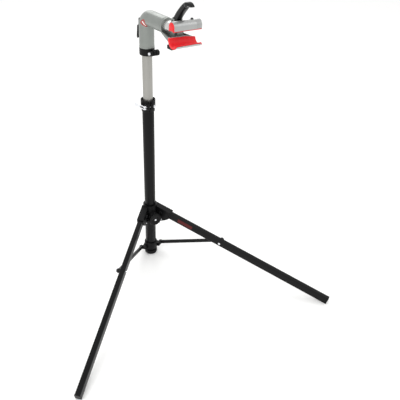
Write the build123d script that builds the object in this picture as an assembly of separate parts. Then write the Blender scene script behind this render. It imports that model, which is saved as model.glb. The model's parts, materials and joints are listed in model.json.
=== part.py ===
from build123d import *
import math
import os

# Folding workshop stand, millimetres and degrees.
# Origin: on the mast's axis at floor level. +Z is up, and -Y is the front, midway between the legs.
# A sub-assembly is drawn facing the front: x across it, "ahead" (s) counted along -Y, z up.
# It is then turned about the mast to its own azimuth.

# ---------------------------------------------------------------- clearances
FIT = 0.02            # pressed or clamped pieces of one body
RUN = 0.05            # pins and shafts in their bores, on the radius
SLIDE = 0.3           # sliding tubes and everything that passes close by

# ---------------------------------------------------------------- mast
MAST_R = 22.5
MAST_WALL = 2.0
MAST_TOP = 706.0
FOOT_WALL = 4.0
FOOT_FLOOR = 5.0
FOOT_HEIGHT = 21.0
FOOT_ROUND = 9.0
INNER_R = 18.5
INNER_WALL = 2.0
INNER_BOTTOM = 215.0
PLUG_GUIDE = 12.0     # inner tube's plug below the tube
PLUG_SEAT = 30.0      # and inside it
PLUG_BORE_R = 10.0

# ---------------------------------------------------------------- legs and struts
LEG_YAW = 39.27       # each leg's azimuth from the front
LEG_INBOARD = 6.0     # inboard face of a leg, from the mast's axis
LEG_HEIGHT = 30.0
LEG_WIDTH = 20.0
LEG_WALL = 1.5
LEG_CORNER = 4.0
LEG_SLOPE = 74.05     # leg from the vertical, unfolded
LEG_LENGTH = 761.0    # hinge to the end of the tube
LEG_BACK = 8.0        # tube behind the hinge
LEG_FLOOR_GAP = 0.25  # under the tube's lowest corner
CAP_FLANGE = 4.5
CAP_LIP = 0.7
CAP_SEAT = 25.0
PLUG_LENGTH = 70.0
STRUT_REACH = 278.0   # along the leg, from its hinge to the strut's bolt
STRUT_PIVOT_Z = 40.0
STRUT_PIVOT_OUT = 3.0
STRUT_HEIGHT = 14.0
STRUT_WIDTH = 10.0
STRUT_WALL = 1.5
STRUT_CORNER = 2.5
STRUT_EYE_R = 9.0
WASHER = 1.2
PIVOT_R = 4.0
STUD_R = 3.0
CAP_NUT_R = 5.2
CAP_NUT = 5.0
BOLT_HEAD_R = 6.8
BOLT_HEAD = 4.5

# ---------------------------------------------------------------- collar for the struts
STRUT_COLLAR_WALL = 4.5
STRUT_COLLAR_BELOW = 12.0
STRUT_COLLAR_ABOVE = 22.0
STRUT_LUG_R = 8.0
STRUT_LUG_ROOT = 6.0

# ---------------------------------------------------------------- hub
HUB_WALL = 6.5
HUB_BELOW = 43.8      # hub under the legs' hinges
HUB_ABOVE = 34.2
HUB_BUSH_WALL = 2.0
HUB_LIP = 3.0         # metal at each end of the bush
LEG_PIVOT_OUT = 19.0  # legs' hinges ahead of the hub's sleeve
EAR = 3.0
EAR_GAP = 0.4
ROOF = 3.5
ROOF_BACK = 40.0
SOCKET_REACH = 40.0
NUT_R = 7.0
NUT_THICK = 5.0
NUT_SEAT_R = 9.0
HUB_SCREW_R = 3.4
KNOB_UP = 27.0        # knob's axis above the hub's lower end
KNOB_R = 27.0
KNOB_DEPTH = 13.0
KNOB_LOBES = 12
KNOB_LOBE_R = 4.2
KNOB_DISH_R = 15.0
BOSS_R = 24.0
BOSS_OUT = 15.0

# ---------------------------------------------------------------- height collar and its lever
COLLAR_YAW = -10.0
COLLAR_BELOW = 31.0
COLLAR_ABOVE = 16.0
COLLAR_WALL = 5.0
COLLAR_WALL_LOW = 2.1
COLLAR_CONE = 20.0
MOUTH_GAP = 1.9       # mouth's radius over the mast's
BUSH_DEPTH = 40.0
BUSH_FLANGE = 3.0
SKEWER_OUT = 5.5
SKEWER_UP = 28.0
SKEWER_R = 2.5
LUG_HALF = 12.0
LUG_HEIGHT = 24.0
LUG_END = 7.0         # lug past the skewer
LUG_ROUND = 5.0
SPLIT = 3.0
HEIGHT_NUT_R = 5.6
HEIGHT_NUT = 7.0
CAM_OUT = 8.0         # lever's cam, from the lug's face to its axis
CAM_R = 7.0
CAM_PIN_R = 2.0
CAM_EYE_R = 4.5
CAM_EYE_HALF = 2.7
PRONG = 4.0
PRONG_GAP_R = 19.0
LEVER_SWEEP = 48.0
LEVER_FLARE = 15.0
LEVER_FLARE_OUT = 7.0

# ---------------------------------------------------------------- head
HEAD_YAW = 9.65       # azimuth of the head from the front
HEAD_WALL = 8.0       # round the inner tube
BARREL_WALL = 6.0     # round the bush
BARREL_Z = 1016.0
BARREL_END = 123.0
BEND_R = 30.0
BORE_DEPTH = 83.0
HEAD_BELOW = 104.0    # head's lower end under the barrel's axis
INNER_BELOW = 44.0    # inner tube's end under the barrel's axis
SWIVEL_HEIGHT = 24.0
SWIVEL_WALL = 8.5
SWIVEL_SCREW_UP = 13.0
SWIVEL_SCREW_OUT = 9.0
SWIVEL_EAR_HALF = 10.0
SWIVEL_EAR_END = 8.0
SWIVEL_NUB_R = 5.0
SWIVEL_NUB = 7.0
SWIVEL_KNOB_R = 10.5
SWIVEL_KNOB = 14.0
SWIVEL_LOBES = 6
SWIVEL_LOBE_R = 2.2
LOCK_R = 3.0
LOCK_OUT = 8.5        # lock lever's pin behind the head
LOCK_CAM_R = 6.0
LOCK_BOSS_R = 6.5
LOCK_EYE_R = 4.4
LOCK_EYE_HALF = 3.4
LOCK_PIN_R = 1.6
LOCK_HALF = 6.4
LOCK_PADDLE_HALF = 11.0
SHOE_HALF = 12.0

# ---------------------------------------------------------------- clamp
CLAMP_ROLL = 1.5      # the clamp rests turned this much in its barrel
SHAFT_R = 16.0
SHAFT_BORE_R = 6.0
SHAFT_STEP = 4.0      # tail is this much smaller
SHAFT_TAIL = 22.0
BARREL_BUSH_WALL = 4.5
RING_OUT = 3.0
RING_THICK = 3.0
NECK_WALL = 3.0
FLANGE_THICK = 4.0
NECK_LENGTH = 43.0    # barrel's end to the column
COLUMN_DEPTH = 24.0
COLUMN_HALF = 18.0
COLUMN_ABOVE = 20.0   # column's top over the barrel's axis
RAIL_HALF = 8.0
RAIL_DEPTH = 6.0
RAIL_LIP = 2.5
RAIL_BELOW = 33.0     # rail under the carriage
ARM_WALL = 3.5
ARM_START_DROP = 13.0
ARM_CHAMFER = 10.0
ARM_END_CHAMFER = 7.0
ARM_SIDE = 3.0        # jaws stand out this far past the arm's sides
ARM_END_BACK = 18.5   # arm ends this far behind the jaws' centre
JAW_OUT = 38.5        # column's face to the jaws' centre
JAW_DROP = 17.0       # lower groove's centre under the barrel's axis
JAW_HALF = 48.0
GROOVE_R = 17.0
PAD_THICK = 5.0
SHELL_THICK = 3.0
GROOVE_FROM = -142.0  # groove's arc, counted from the back
GROOVE_TO = 12.0
PAD_END = 2.5
CORNER_FROM = 8.0     # back wall's right corner is cut away from here
CORNER_DROP = 8.0
TAIL_LENGTH = 14.0
UPPER_R = 16.0
UPPER_HALF = 52.0
UPPER_X = -3.0        # upper jaw's middle, left of the lower's
UPPER_PAD_END = 1.0
UPPER_RISE = 43.0     # upper jaw's centre over the lower's, wide open
UPPER_SKIRT = 11.0
UPPER_PAD_DROP = 3.0
UPPER_DISH_R = 30.0
UPPER_DISH = 3.0
RECESS_HALF = 16.0
CARRIAGE_HALF = 17.0
CARRIAGE_DEPTH = 6.5
CARRIAGE_DROP = 24.0  # carriage's lower end under the upper jaw's centre
CARRIAGE_RISE = 3.0
HANDLE_RELIEF = 3.0   # bevel that lets the handle swing back
BRIDGE_DROP = 12.0
ADJUSTER_X = 22.0
ADJUSTER_R = 4.5
CAM_BACK = 11.0       # handle's pin ahead of the column's back
CAM_RISE = 8.0        # and over its top
CAM_DISC_R = 12.0
HANDLE_HALF = 11.5
HANDLE_THICK = 17.0
CHEEK = 4.5
COLUMN_LOW = 7.1      # column's foot over the arm's underside at its end

# ---------------------------------------------------------------- places that follow from the sizes
FOOT_R = MAST_R + FOOT_WALL
STRUT_COLLAR_R = MAST_R + STRUT_COLLAR_WALL
HUB_R = MAST_R + HUB_WALL
COLLAR_R = MAST_R + COLLAR_WALL
COLLAR_R_LOW = MAST_R + COLLAR_WALL_LOW
COLLAR_MOUTH_R = MAST_R + MOUTH_GAP
BARREL_BORE_R = SHAFT_R + BARREL_BUSH_WALL
HEAD_R = max(INNER_R + HEAD_WALL, BARREL_BORE_R + BARREL_WALL)
SWIVEL_R = INNER_R + SWIVEL_WALL

COLLAR_Z0 = MAST_TOP - COLLAR_BELOW
COLLAR_Z1 = MAST_TOP + COLLAR_ABOVE
SKEWER_Z = COLLAR_Z0 + SKEWER_UP
SKEWER_AHEAD = COLLAR_R + SKEWER_OUT
LUG_AHEAD = SKEWER_AHEAD + LUG_END
CAM_AHEAD_X = -(LUG_HALF + CAM_OUT)

INNER_TOP = BARREL_Z - INNER_BELOW
HEAD_Z0 = BARREL_Z - HEAD_BELOW
SWIVEL_Z0 = HEAD_Z0 - SWIVEL_HEIGHT
SWIVEL_SCREW_Z = SWIVEL_Z0 + SWIVEL_SCREW_UP
SWIVEL_SCREW_AHEAD = SWIVEL_R + SWIVEL_SCREW_OUT
BARREL_BORE_START = BARREL_END - BORE_DEPTH

SHAFT_TAIL_R = SHAFT_R - SHAFT_STEP
SHAFT_TAIL_START = BARREL_BORE_START + 2
SHAFT_START = SHAFT_TAIL_START + SHAFT_TAIL
SHOE_END = SHAFT_START - RING_THICK - 3
RING_R = SHAFT_R + RING_OUT
NECK_R = SHAFT_R + NECK_WALL
FLANGE_R = HEAD_R - 1
LOCK_Z = BARREL_Z - SHAFT_TAIL_R - LOCK_R - 1
LOCK_AHEAD = -(HEAD_R + LOCK_OUT)

COLUMN_BACK = BARREL_END + NECK_LENGTH
COLUMN_FRONT = COLUMN_BACK + COLUMN_DEPTH
COLUMN_TOP = BARREL_Z + COLUMN_ABOVE
SLIDE_FRONT = COLUMN_FRONT + RAIL_DEPTH
CARRIAGE_FRONT = SLIDE_FRONT + CARRIAGE_DEPTH
JAW_AHEAD = COLUMN_FRONT + JAW_OUT
JAW_Z = BARREL_Z - JAW_DROP
SHELL_R = GROOVE_R + PAD_THICK + SHELL_THICK
ARM_START_HALF = HEAD_R - 0.5
ARM_START_RIM = BARREL_Z - ARM_START_DROP
ARM_START_FLOOR = BARREL_Z - HEAD_R
ARM_END = JAW_AHEAD - ARM_END_BACK
ARM_END_HALF = JAW_HALF - ARM_SIDE
ARM_END_RIM = JAW_Z - 1
ARM_END_FLOOR = JAW_Z - SHELL_R + 1.5
UPPER_Z = JAW_Z + UPPER_RISE
UPPER_EDGE_Z = UPPER_Z - UPPER_SKIRT
UPPER_X0 = UPPER_X - UPPER_HALF
UPPER_X1 = UPPER_X + UPPER_HALF
CARRIAGE_Z0 = UPPER_Z - CARRIAGE_DROP
CARRIAGE_Z1 = UPPER_Z + CARRIAGE_RISE
BRIDGE_Z0 = UPPER_Z - BRIDGE_DROP
CAM_AHEAD = COLUMN_BACK + CAM_BACK
CAM_Z = COLUMN_TOP + CAM_RISE

_slope = math.radians(LEG_SLOPE)
LEG_OFFSET = LEG_INBOARD + LEG_WIDTH / 2
LEG_PIVOT_R = HUB_R + LEG_PIVOT_OUT
LEG_PIVOT_Z = LEG_LENGTH * math.cos(_slope) + LEG_HEIGHT / 2 * math.sin(_slope) + LEG_FLOOR_GAP
HUB_Z0 = LEG_PIVOT_Z - HUB_BELOW
HUB_Z1 = LEG_PIVOT_Z + HUB_ABOVE
SOCKET_END_R = LEG_PIVOT_R + SOCKET_REACH
NUT_FACE = LEG_INBOARD - EAR_GAP - EAR
KNOB_Z = HUB_Z0 + KNOB_UP
BOSS_AHEAD = HUB_R + BOSS_OUT

STRUT_COLLAR_Z0 = STRUT_PIVOT_Z - STRUT_COLLAR_BELOW
STRUT_COLLAR_Z1 = STRUT_PIVOT_Z + STRUT_COLLAR_ABOVE
STRUT_PIVOT_R = STRUT_COLLAR_R + STRUT_PIVOT_OUT
STRUT_END_R = LEG_PIVOT_R + STRUT_REACH * math.sin(_slope)
STRUT_END_Z = LEG_PIVOT_Z - STRUT_REACH * math.cos(_slope)
STRUT_RUN = STRUT_END_R - STRUT_PIVOT_R
STRUT_LIFT = STRUT_END_Z - STRUT_PIVOT_Z
STRUT_LENGTH = math.hypot(STRUT_RUN, STRUT_LIFT)
STRUT_RISE = math.atan2(STRUT_LIFT, STRUT_RUN)
STRUT_X = LEG_OFFSET + LEG_WIDTH / 2 + EAR_GAP + WASHER + STRUT_WIDTH / 2


# ================================================================ helpers

def box(x0, x1, s0, s1, z0, z1):
    """A block between two corners, s counted ahead along -Y."""
    centre = Pos((x0 + x1) / 2, -(s0 + s1) / 2, (z0 + z1) / 2)
    return centre * Box(abs(x1 - x0), abs(s1 - s0), abs(z1 - z0))


def post(radius, z0, z1, x=0.0, s=0.0):
    """An upright round bar."""
    return Pos(x, -s, (z0 + z1) / 2) * Cylinder(radius, z1 - z0)


def bar_across(radius, x0, x1, s, z):
    """A round bar along x."""
    return Pos((x0 + x1) / 2, -s, z) * Rot(0, 90, 0) * Cylinder(radius, x1 - x0)


def bar_ahead(radius, s0, s1, x, z):
    """A round bar along the forward direction."""
    return Pos(x, -(s0 + s1) / 2, z) * Rot(90, 0, 0) * Cylinder(radius, s1 - s0)


def side_plate(points, x0, x1):
    """A plate whose outline is given in (ahead, z), between two values of x."""
    outline = Polyline(*[(-s, z) for s, z in points], close=True)
    face = Plane.YZ.offset(x0) * make_face(outline)
    return extrude(face, amount=x1 - x0)


def arc_band(r_in, r_out, start, end, x0, x1, s, z):
    """A band between two arcs about an axis along x; angles count up from the back."""
    outer = CenterArc((-s, z), r_out, start, end - start)
    inner = CenterArc((-s, z), r_in, start, end - start)
    edges = [outer, inner, Line(outer @ 0, inner @ 0), Line(outer @ 1, inner @ 1)]
    return extrude(Plane.YZ.offset(x0) * make_face(edges), amount=x1 - x0)


def spin(points):
    """A round piece about the mast's axis, its half section given in (radius, z)."""
    face = Plane.XZ * make_face(Polyline(*points, close=True))
    return revolve(face, Axis.Z)


def rounded_bar(length, width, height, corner):
    """A bar along X from the origin with rounded long edges."""
    bar = Pos(length / 2, 0, 0) * Box(length, width, height)
    return fillet(bar.edges().filter_by(Axis.X), corner)


def in_leg(shape):
    """Place a piece drawn along X from the leg's hinge, Y outboard, Z out of the leg's top."""
    slope = math.radians(LEG_SLOPE)
    frame = Plane(
        origin=(LEG_OFFSET, -LEG_PIVOT_R, LEG_PIVOT_Z),
        x_dir=(0, -math.sin(slope), -math.cos(slope)),
        z_dir=(0, -math.cos(slope), math.sin(slope)),
    )
    return frame.location * shape


def in_strut(shape):
    """Place a piece drawn along X from the strut's hinge, Y outboard."""
    frame = Plane(
        origin=(STRUT_X, -STRUT_PIVOT_R, STRUT_PIVOT_Z),
        x_dir=(0, -math.cos(STRUT_RISE), math.sin(STRUT_RISE)),
        z_dir=(0, math.sin(STRUT_RISE), math.cos(STRUT_RISE)),
    )
    return frame.location * shape


def right(shape):
    """Turn a piece to the right leg's azimuth."""
    return Rot(0, 0, LEG_YAW) * shape


def left(shape):
    """The same piece on the left leg."""
    return mirror(right(shape), about=Plane.YZ)


def at_head(shape):
    """Turn a piece to the head's azimuth."""
    return Rot(0, 0, HEAD_YAW) * shape


def at_collar(shape):
    """Turn a piece to the height collar's azimuth."""
    return Rot(0, 0, COLLAR_YAW) * shape


def at_clamp(shape):
    """Turn a piece with the clamp in its barrel, then with the head."""
    return at_head(Pos(0, 0, BARREL_Z) * Rot(0, CLAMP_ROLL, 0) * Pos(0, 0, -BARREL_Z) * shape)


# ================================================================ mast

def tube(radius, wall, z0, z1):
    """A round upright tube."""
    return post(radius, z0, z1) - post(radius - wall, z0, z1)


def mast_foot():
    """Foot cap: a cup with a rounded bottom edge."""
    cup = post(FOOT_R, 0, FOOT_HEIGHT)
    cup = fillet(cup.edges().group_by(Axis.Z)[0], FOOT_ROUND)
    cup = chamfer(cup.edges().group_by(Axis.Z)[-1], 1.0)
    return cup - post(MAST_R + FIT, FOOT_FLOOR, FOOT_HEIGHT)


def strut_collar():
    """Collar with one lug a side for the struts' hinges."""
    lug_out = STRUT_X - STRUT_WIDTH / 2 - SLIDE
    ring = post(STRUT_COLLAR_R, STRUT_COLLAR_Z0, STRUT_COLLAR_Z1)
    ring = chamfer(ring.edges().filter_by(GeomType.CIRCLE), 1.5)
    root = LEG_OFFSET - STRUT_LUG_ROOT
    lug = box(root, lug_out, 0, STRUT_PIVOT_R, STRUT_PIVOT_Z - STRUT_LUG_R, STRUT_PIVOT_Z + STRUT_LUG_R)
    lug += bar_across(STRUT_LUG_R, root, lug_out, STRUT_PIVOT_R, STRUT_PIVOT_Z)
    lug -= bar_across(PIVOT_R + FIT, 0, lug_out, STRUT_PIVOT_R, STRUT_PIVOT_Z)
    bore = post(MAST_R + FIT, STRUT_COLLAR_Z0, STRUT_COLLAR_Z1)
    return ring + right(lug) + left(lug) - bore


def strut_pivot_bolt():
    """Shoulder bolt that a strut turns on at the collar."""
    out = STRUT_X + STRUT_WIDTH / 2 + SLIDE
    shank = bar_across(PIVOT_R, LEG_OFFSET, out, STRUT_PIVOT_R, STRUT_PIVOT_Z)
    head = bar_across(BOLT_HEAD_R, out, out + BOLT_HEAD, STRUT_PIVOT_R, STRUT_PIVOT_Z)
    head = chamfer(head.edges().filter_by(GeomType.CIRCLE), 0.8)
    bolt = shank + head
    return bolt - post(MAST_R + SLIDE, 0, STRUT_COLLAR_Z1)


def height_collar():
    """Split collar: a cone that widens to an open mouth, with two lugs for the skewer."""
    outer = spin([(0, COLLAR_Z0), (COLLAR_R_LOW, COLLAR_Z0), (COLLAR_R, COLLAR_Z0 + COLLAR_CONE),
                  (COLLAR_R, COLLAR_Z1 - 1), (COLLAR_R - 1, COLLAR_Z1), (0, COLLAR_Z1)])
    z0, z1 = SKEWER_Z - LUG_HEIGHT / 2, SKEWER_Z + LUG_HEIGHT / 2
    lugs = box(-LUG_HALF, LUG_HALF, 0, LUG_AHEAD, z0, z1)
    lugs = fillet(lugs.edges().filter_by(Axis.X).group_by(Axis.Y)[0], LUG_ROUND)
    mouth = post(COLLAR_MOUTH_R, MAST_TOP, COLLAR_Z1)
    split = box(-SPLIT / 2, SPLIT / 2, 0, LUG_AHEAD, COLLAR_Z0, COLLAR_Z1)
    hole = bar_across(SKEWER_R + FIT, -LUG_HALF, LUG_HALF, SKEWER_AHEAD, SKEWER_Z)
    return outer + lugs - post(MAST_R + FIT, COLLAR_Z0, COLLAR_Z1) - mouth - split - hole


def guide_bush():
    """Flanged plastic bush in the mast's top that guides the inner tube."""
    sleeve = post(MAST_R - MAST_WALL - FIT, MAST_TOP - BUSH_DEPTH, MAST_TOP)
    flange = post(MAST_R, MAST_TOP, MAST_TOP + BUSH_FLANGE)
    bore = post(INNER_R + SLIDE, MAST_TOP - BUSH_DEPTH, MAST_TOP + BUSH_FLANGE)
    return sleeve + flange - bore


def height_skewer():
    """Rod across the lugs, with an eye for the lever's pin at its left end."""
    rod = bar_across(SKEWER_R, CAM_AHEAD_X, LUG_HALF + HEIGHT_NUT + 2, SKEWER_AHEAD, SKEWER_Z)
    z0, z1 = SKEWER_Z - CAM_EYE_HALF, SKEWER_Z + CAM_EYE_HALF
    eye = post(CAM_EYE_R, z0, z1, CAM_AHEAD_X, SKEWER_AHEAD)
    pin = post(CAM_PIN_R + RUN, z0, z1, CAM_AHEAD_X, SKEWER_AHEAD)
    return rod + eye - pin


def height_nut():
    """Round knurled nut at the skewer's right end."""
    nut = bar_across(HEIGHT_NUT_R, LUG_HALF, LUG_HALF + HEIGHT_NUT, SKEWER_AHEAD, SKEWER_Z)
    nut = chamfer(nut.edges().filter_by(GeomType.CIRCLE), 0.8)
    return nut - bar_across(SKEWER_R + FIT, LUG_HALF, LUG_HALF + HEIGHT_NUT, SKEWER_AHEAD, SKEWER_Z)


def height_lever():
    """Quick release lever: two curved prongs that meet at a flared tip."""
    reach = math.hypot(CAM_AHEAD_X, SKEWER_AHEAD)
    start = math.degrees(math.atan2(-SKEWER_AHEAD, CAM_AHEAD_X))
    bow = CenterArc((0, 0), reach, start, -LEVER_SWEEP)
    flare = Line(bow @ 1, bow @ 1 + (bow % 1) * LEVER_FLARE + Vector(-LEVER_FLARE_OUT, 0))
    path = trace(Curve() + [bow, flare], line_width=PRONG)
    inner = CAM_EYE_HALF + SLIDE
    half = inner + PRONG
    lever = extrude(Plane.XY.offset(SKEWER_Z - half) * path, amount=2 * half)
    lever += post(CAM_R, SKEWER_Z - half, SKEWER_Z + half, CAM_AHEAD_X, SKEWER_AHEAD)
    web = post(PRONG_GAP_R, SKEWER_Z - inner, SKEWER_Z + inner, CAM_AHEAD_X, SKEWER_AHEAD)
    lever -= web
    pin = post(CAM_PIN_R, SKEWER_Z - inner, SKEWER_Z + inner, CAM_AHEAD_X, SKEWER_AHEAD)
    return lever + pin


# ================================================================ inner tube and head

def inner_plug():
    """Guide plug on the inner tube's lower end."""
    guide_r = MAST_R - MAST_WALL - SLIDE
    low, high = INNER_BOTTOM - PLUG_GUIDE, INNER_BOTTOM + PLUG_SEAT
    plug = post(guide_r, low, INNER_BOTTOM)
    plug += post(INNER_R - INNER_WALL - FIT, INNER_BOTTOM, high)
    return plug - post(PLUG_BORE_R, low, high)


def head_casting():
    """Elbow: a socket for the inner tube below, a barrel for the clamp's shaft ahead."""
    bend_z = BARREL_Z - BEND_R
    body = post(HEAD_R, HEAD_Z0, bend_z)
    body += bar_ahead(HEAD_R, BEND_R, BARREL_END, 0, BARREL_Z)
    circle = Plane.XY.offset(bend_z) * Circle(HEAD_R)
    body += revolve(circle, Axis((0, -BEND_R, bend_z), (1, 0, 0)), 90)
    body = chamfer(body.edges().group_by(Axis.Y)[0], 1.2)
    body += bar_ahead(LOCK_BOSS_R, LOCK_AHEAD + LOCK_CAM_R + SLIDE, 0, 0, LOCK_Z)
    body -= post(INNER_R + SLIDE, HEAD_Z0, INNER_TOP + 4)
    body -= bar_ahead(BARREL_BORE_R, BARREL_BORE_START, BARREL_END, 0, BARREL_Z)
    return body - bar_ahead(LOCK_R + SLIDE, LOCK_AHEAD, BARREL_BORE_START, 0, LOCK_Z)


def swivel_collar():
    """Clamp ring under the head, split at the front."""
    ring = post(SWIVEL_R, SWIVEL_Z0, HEAD_Z0)
    ring = chamfer(ring.edges().filter_by(GeomType.CIRCLE).group_by(Axis.Z)[0], 1.5)
    front = SWIVEL_SCREW_AHEAD + SWIVEL_EAR_END
    ears = box(-SWIVEL_EAR_HALF, SWIVEL_EAR_HALF, 0, front, SWIVEL_Z0 + 4, HEAD_Z0 - 3)
    ears = fillet(ears.edges().filter_by(Axis.X).group_by(Axis.Y)[0], LUG_ROUND)
    split = box(-SPLIT / 2, SPLIT / 2, 0, front, SWIVEL_Z0, HEAD_Z0)
    hole = bar_across(SKEWER_R + RUN, -SWIVEL_EAR_HALF, SWIVEL_EAR_HALF, SWIVEL_SCREW_AHEAD,
                      SWIVEL_SCREW_Z)
    return ring + ears - post(INNER_R + SLIDE, SWIVEL_Z0, HEAD_Z0) - split - hole


def swivel_screw():
    """Bright barrel nut on the left of the swivel collar."""
    face = -SWIVEL_EAR_HALF
    nub = bar_across(SWIVEL_NUB_R, face - SWIVEL_NUB, face, SWIVEL_SCREW_AHEAD, SWIVEL_SCREW_Z)
    nub = fillet(nub.edges().group_by(Axis.X)[0], 1.8)
    return nub - bar_across(SKEWER_R + RUN, face - SWIVEL_NUB + 2, face, SWIVEL_SCREW_AHEAD, SWIVEL_SCREW_Z)


def swivel_knob():
    """Lobed hand knob with the clamping screw in its centre."""
    x0 = SWIVEL_EAR_HALF + SLIDE + 0.2
    x1 = x0 + SWIVEL_KNOB
    knob = bar_across(SWIVEL_KNOB_R, x0, x1, SWIVEL_SCREW_AHEAD, SWIVEL_SCREW_Z)
    knob = chamfer(knob.edges().group_by(Axis.X)[-1], 2.0)
    out = SWIVEL_KNOB_R + 0.5
    for i in range(SWIVEL_LOBES):
        angle = 2 * math.pi * i / SWIVEL_LOBES
        knob -= bar_across(SWIVEL_LOBE_R, x0 + 3.5, x1, SWIVEL_SCREW_AHEAD + out * math.cos(angle),
                           SWIVEL_SCREW_Z + out * math.sin(angle))
    end = -SWIVEL_EAR_HALF - SWIVEL_NUB + 2.5
    return knob + bar_across(SKEWER_R, end, x0 + 1.5, SWIVEL_SCREW_AHEAD, SWIVEL_SCREW_Z)


def barrel_bush():
    """Bearing bush between the barrel and the clamp's shaft."""
    return (bar_ahead(BARREL_BORE_R - FIT, SHAFT_START, BARREL_END - 1, 0, BARREL_Z)
            - bar_ahead(SHAFT_R + RUN, SHAFT_START, BARREL_END - 1, 0, BARREL_Z))


def lock_shoe():
    """Brake shoe under the tail of the clamp's shaft."""
    block = bar_ahead(BARREL_BORE_R - FIT, SHAFT_TAIL_START, SHOE_END, 0, BARREL_Z)
    top = BARREL_Z - SHOE_HALF / 2
    block &= box(-SHOE_HALF, SHOE_HALF, SHAFT_TAIL_START, SHOE_END, BARREL_Z - HEAD_R, top)
    block -= bar_ahead(SHAFT_TAIL_R + SLIDE, SHAFT_TAIL_START, SHOE_END, 0, BARREL_Z)
    return block - bar_ahead(LOCK_R + FIT, SHAFT_TAIL_START, SHOE_END, 0, LOCK_Z)


def lock_rod():
    """Rod that the lock lever pulls, from the shoe to an eye behind the head."""
    rod = bar_ahead(LOCK_R, LOCK_AHEAD, SHOE_END - 2, 0, LOCK_Z)
    eye = bar_across(LOCK_EYE_R, -LOCK_EYE_HALF, LOCK_EYE_HALF, LOCK_AHEAD, LOCK_Z)
    return rod + eye - bar_across(LOCK_PIN_R + RUN, -LOCK_HALF, LOCK_HALF, LOCK_AHEAD, LOCK_Z)


def lock_lever():
    """Forked cam lever that hangs behind the head and widens to a paddle."""
    cam = bar_across(LOCK_CAM_R, -LOCK_HALF, LOCK_HALF, LOCK_AHEAD, LOCK_Z)
    neck = [(LOCK_AHEAD + 4.5, LOCK_Z - 2), (LOCK_AHEAD - 5, LOCK_Z + 2),
            (LOCK_AHEAD - 9, LOCK_Z - 30), (LOCK_AHEAD - 1.5, LOCK_Z - 30)]
    paddle = [(LOCK_AHEAD - 1.5, LOCK_Z - 22), (LOCK_AHEAD - 8.2, LOCK_Z - 18),
              (LOCK_AHEAD - 13.5, LOCK_Z - 60), (LOCK_AHEAD - 11, LOCK_Z - 66),
              (LOCK_AHEAD - 6.5, LOCK_Z - 62)]
    blade = side_plate(paddle, -LOCK_PADDLE_HALF, LOCK_PADDLE_HALF)
    blade = fillet(blade.edges().filter_by(Axis.X), 1.5)
    half = LOCK_EYE_HALF + SLIDE
    slot = box(-half, half, LOCK_AHEAD - 14, LOCK_AHEAD + 8, LOCK_Z - 9, LOCK_Z + 8)
    lever = cam + side_plate(neck, -LOCK_HALF, LOCK_HALF) + blade - slot
    return lever - bar_across(LOCK_PIN_R + FIT, -LOCK_HALF, LOCK_HALF, LOCK_AHEAD, LOCK_Z)


def lock_pin():
    """Cross pin of the lock lever."""
    return bar_across(LOCK_PIN_R, -LOCK_HALF, LOCK_HALF, LOCK_AHEAD, LOCK_Z)


# ================================================================ clamp

def clamp_shaft():
    """Turned shaft that carries the clamp in the barrel."""
    shaft = bar_ahead(SHAFT_TAIL_R, SHAFT_TAIL_START, SHAFT_START, 0, BARREL_Z)
    shaft += bar_ahead(SHAFT_R, SHAFT_START, COLUMN_BACK, 0, BARREL_Z)
    return shaft - bar_ahead(SHAFT_BORE_R, SHAFT_TAIL_START, COLUMN_BACK, 0, BARREL_Z)


def shaft_ring():
    """Retaining ring behind the bush."""
    back, front = SHAFT_START - RING_THICK, SHAFT_START - SLIDE
    return (bar_ahead(RING_R, back, front, 0, BARREL_Z)
            - bar_ahead(SHAFT_TAIL_R + FIT, back, front, 0, BARREL_Z))


def trough_section(half, rim, floor, chamfer_size):
    """Half of a trough's outline turned into a closed loop, as (x, z) points."""
    inner_half = half - ARM_WALL
    inner_floor = floor + ARM_WALL
    inner_chamfer = chamfer_size - ARM_WALL * 0.6
    outer = [(-half, rim), (-half, floor + chamfer_size), (-half + chamfer_size, floor),
             (half - chamfer_size, floor), (half, floor + chamfer_size), (half, rim)]
    inner = [(inner_half, rim), (inner_half, inner_floor + inner_chamfer),
             (inner_half - inner_chamfer, inner_floor), (-inner_half + inner_chamfer, inner_floor),
             (-inner_half, inner_floor + inner_chamfer), (-inner_half, rim)]
    return outer + inner


def lower_arm():
    """Trough that flares from the barrel's width to the jaws' width."""
    start = BARREL_END + SLIDE + FLANGE_THICK / 2
    sections = []
    for s, points in (
        (start, trough_section(ARM_START_HALF, ARM_START_RIM, ARM_START_FLOOR, ARM_CHAMFER)),
        (ARM_END, trough_section(ARM_END_HALF, ARM_END_RIM, ARM_END_FLOOR, ARM_END_CHAMFER)),
    ):
        outline = Polyline(*[Vector(x, -s, z) for x, z in points], close=True)
        sections.append(make_face(outline))
    return loft(sections, ruled=True)


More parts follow.
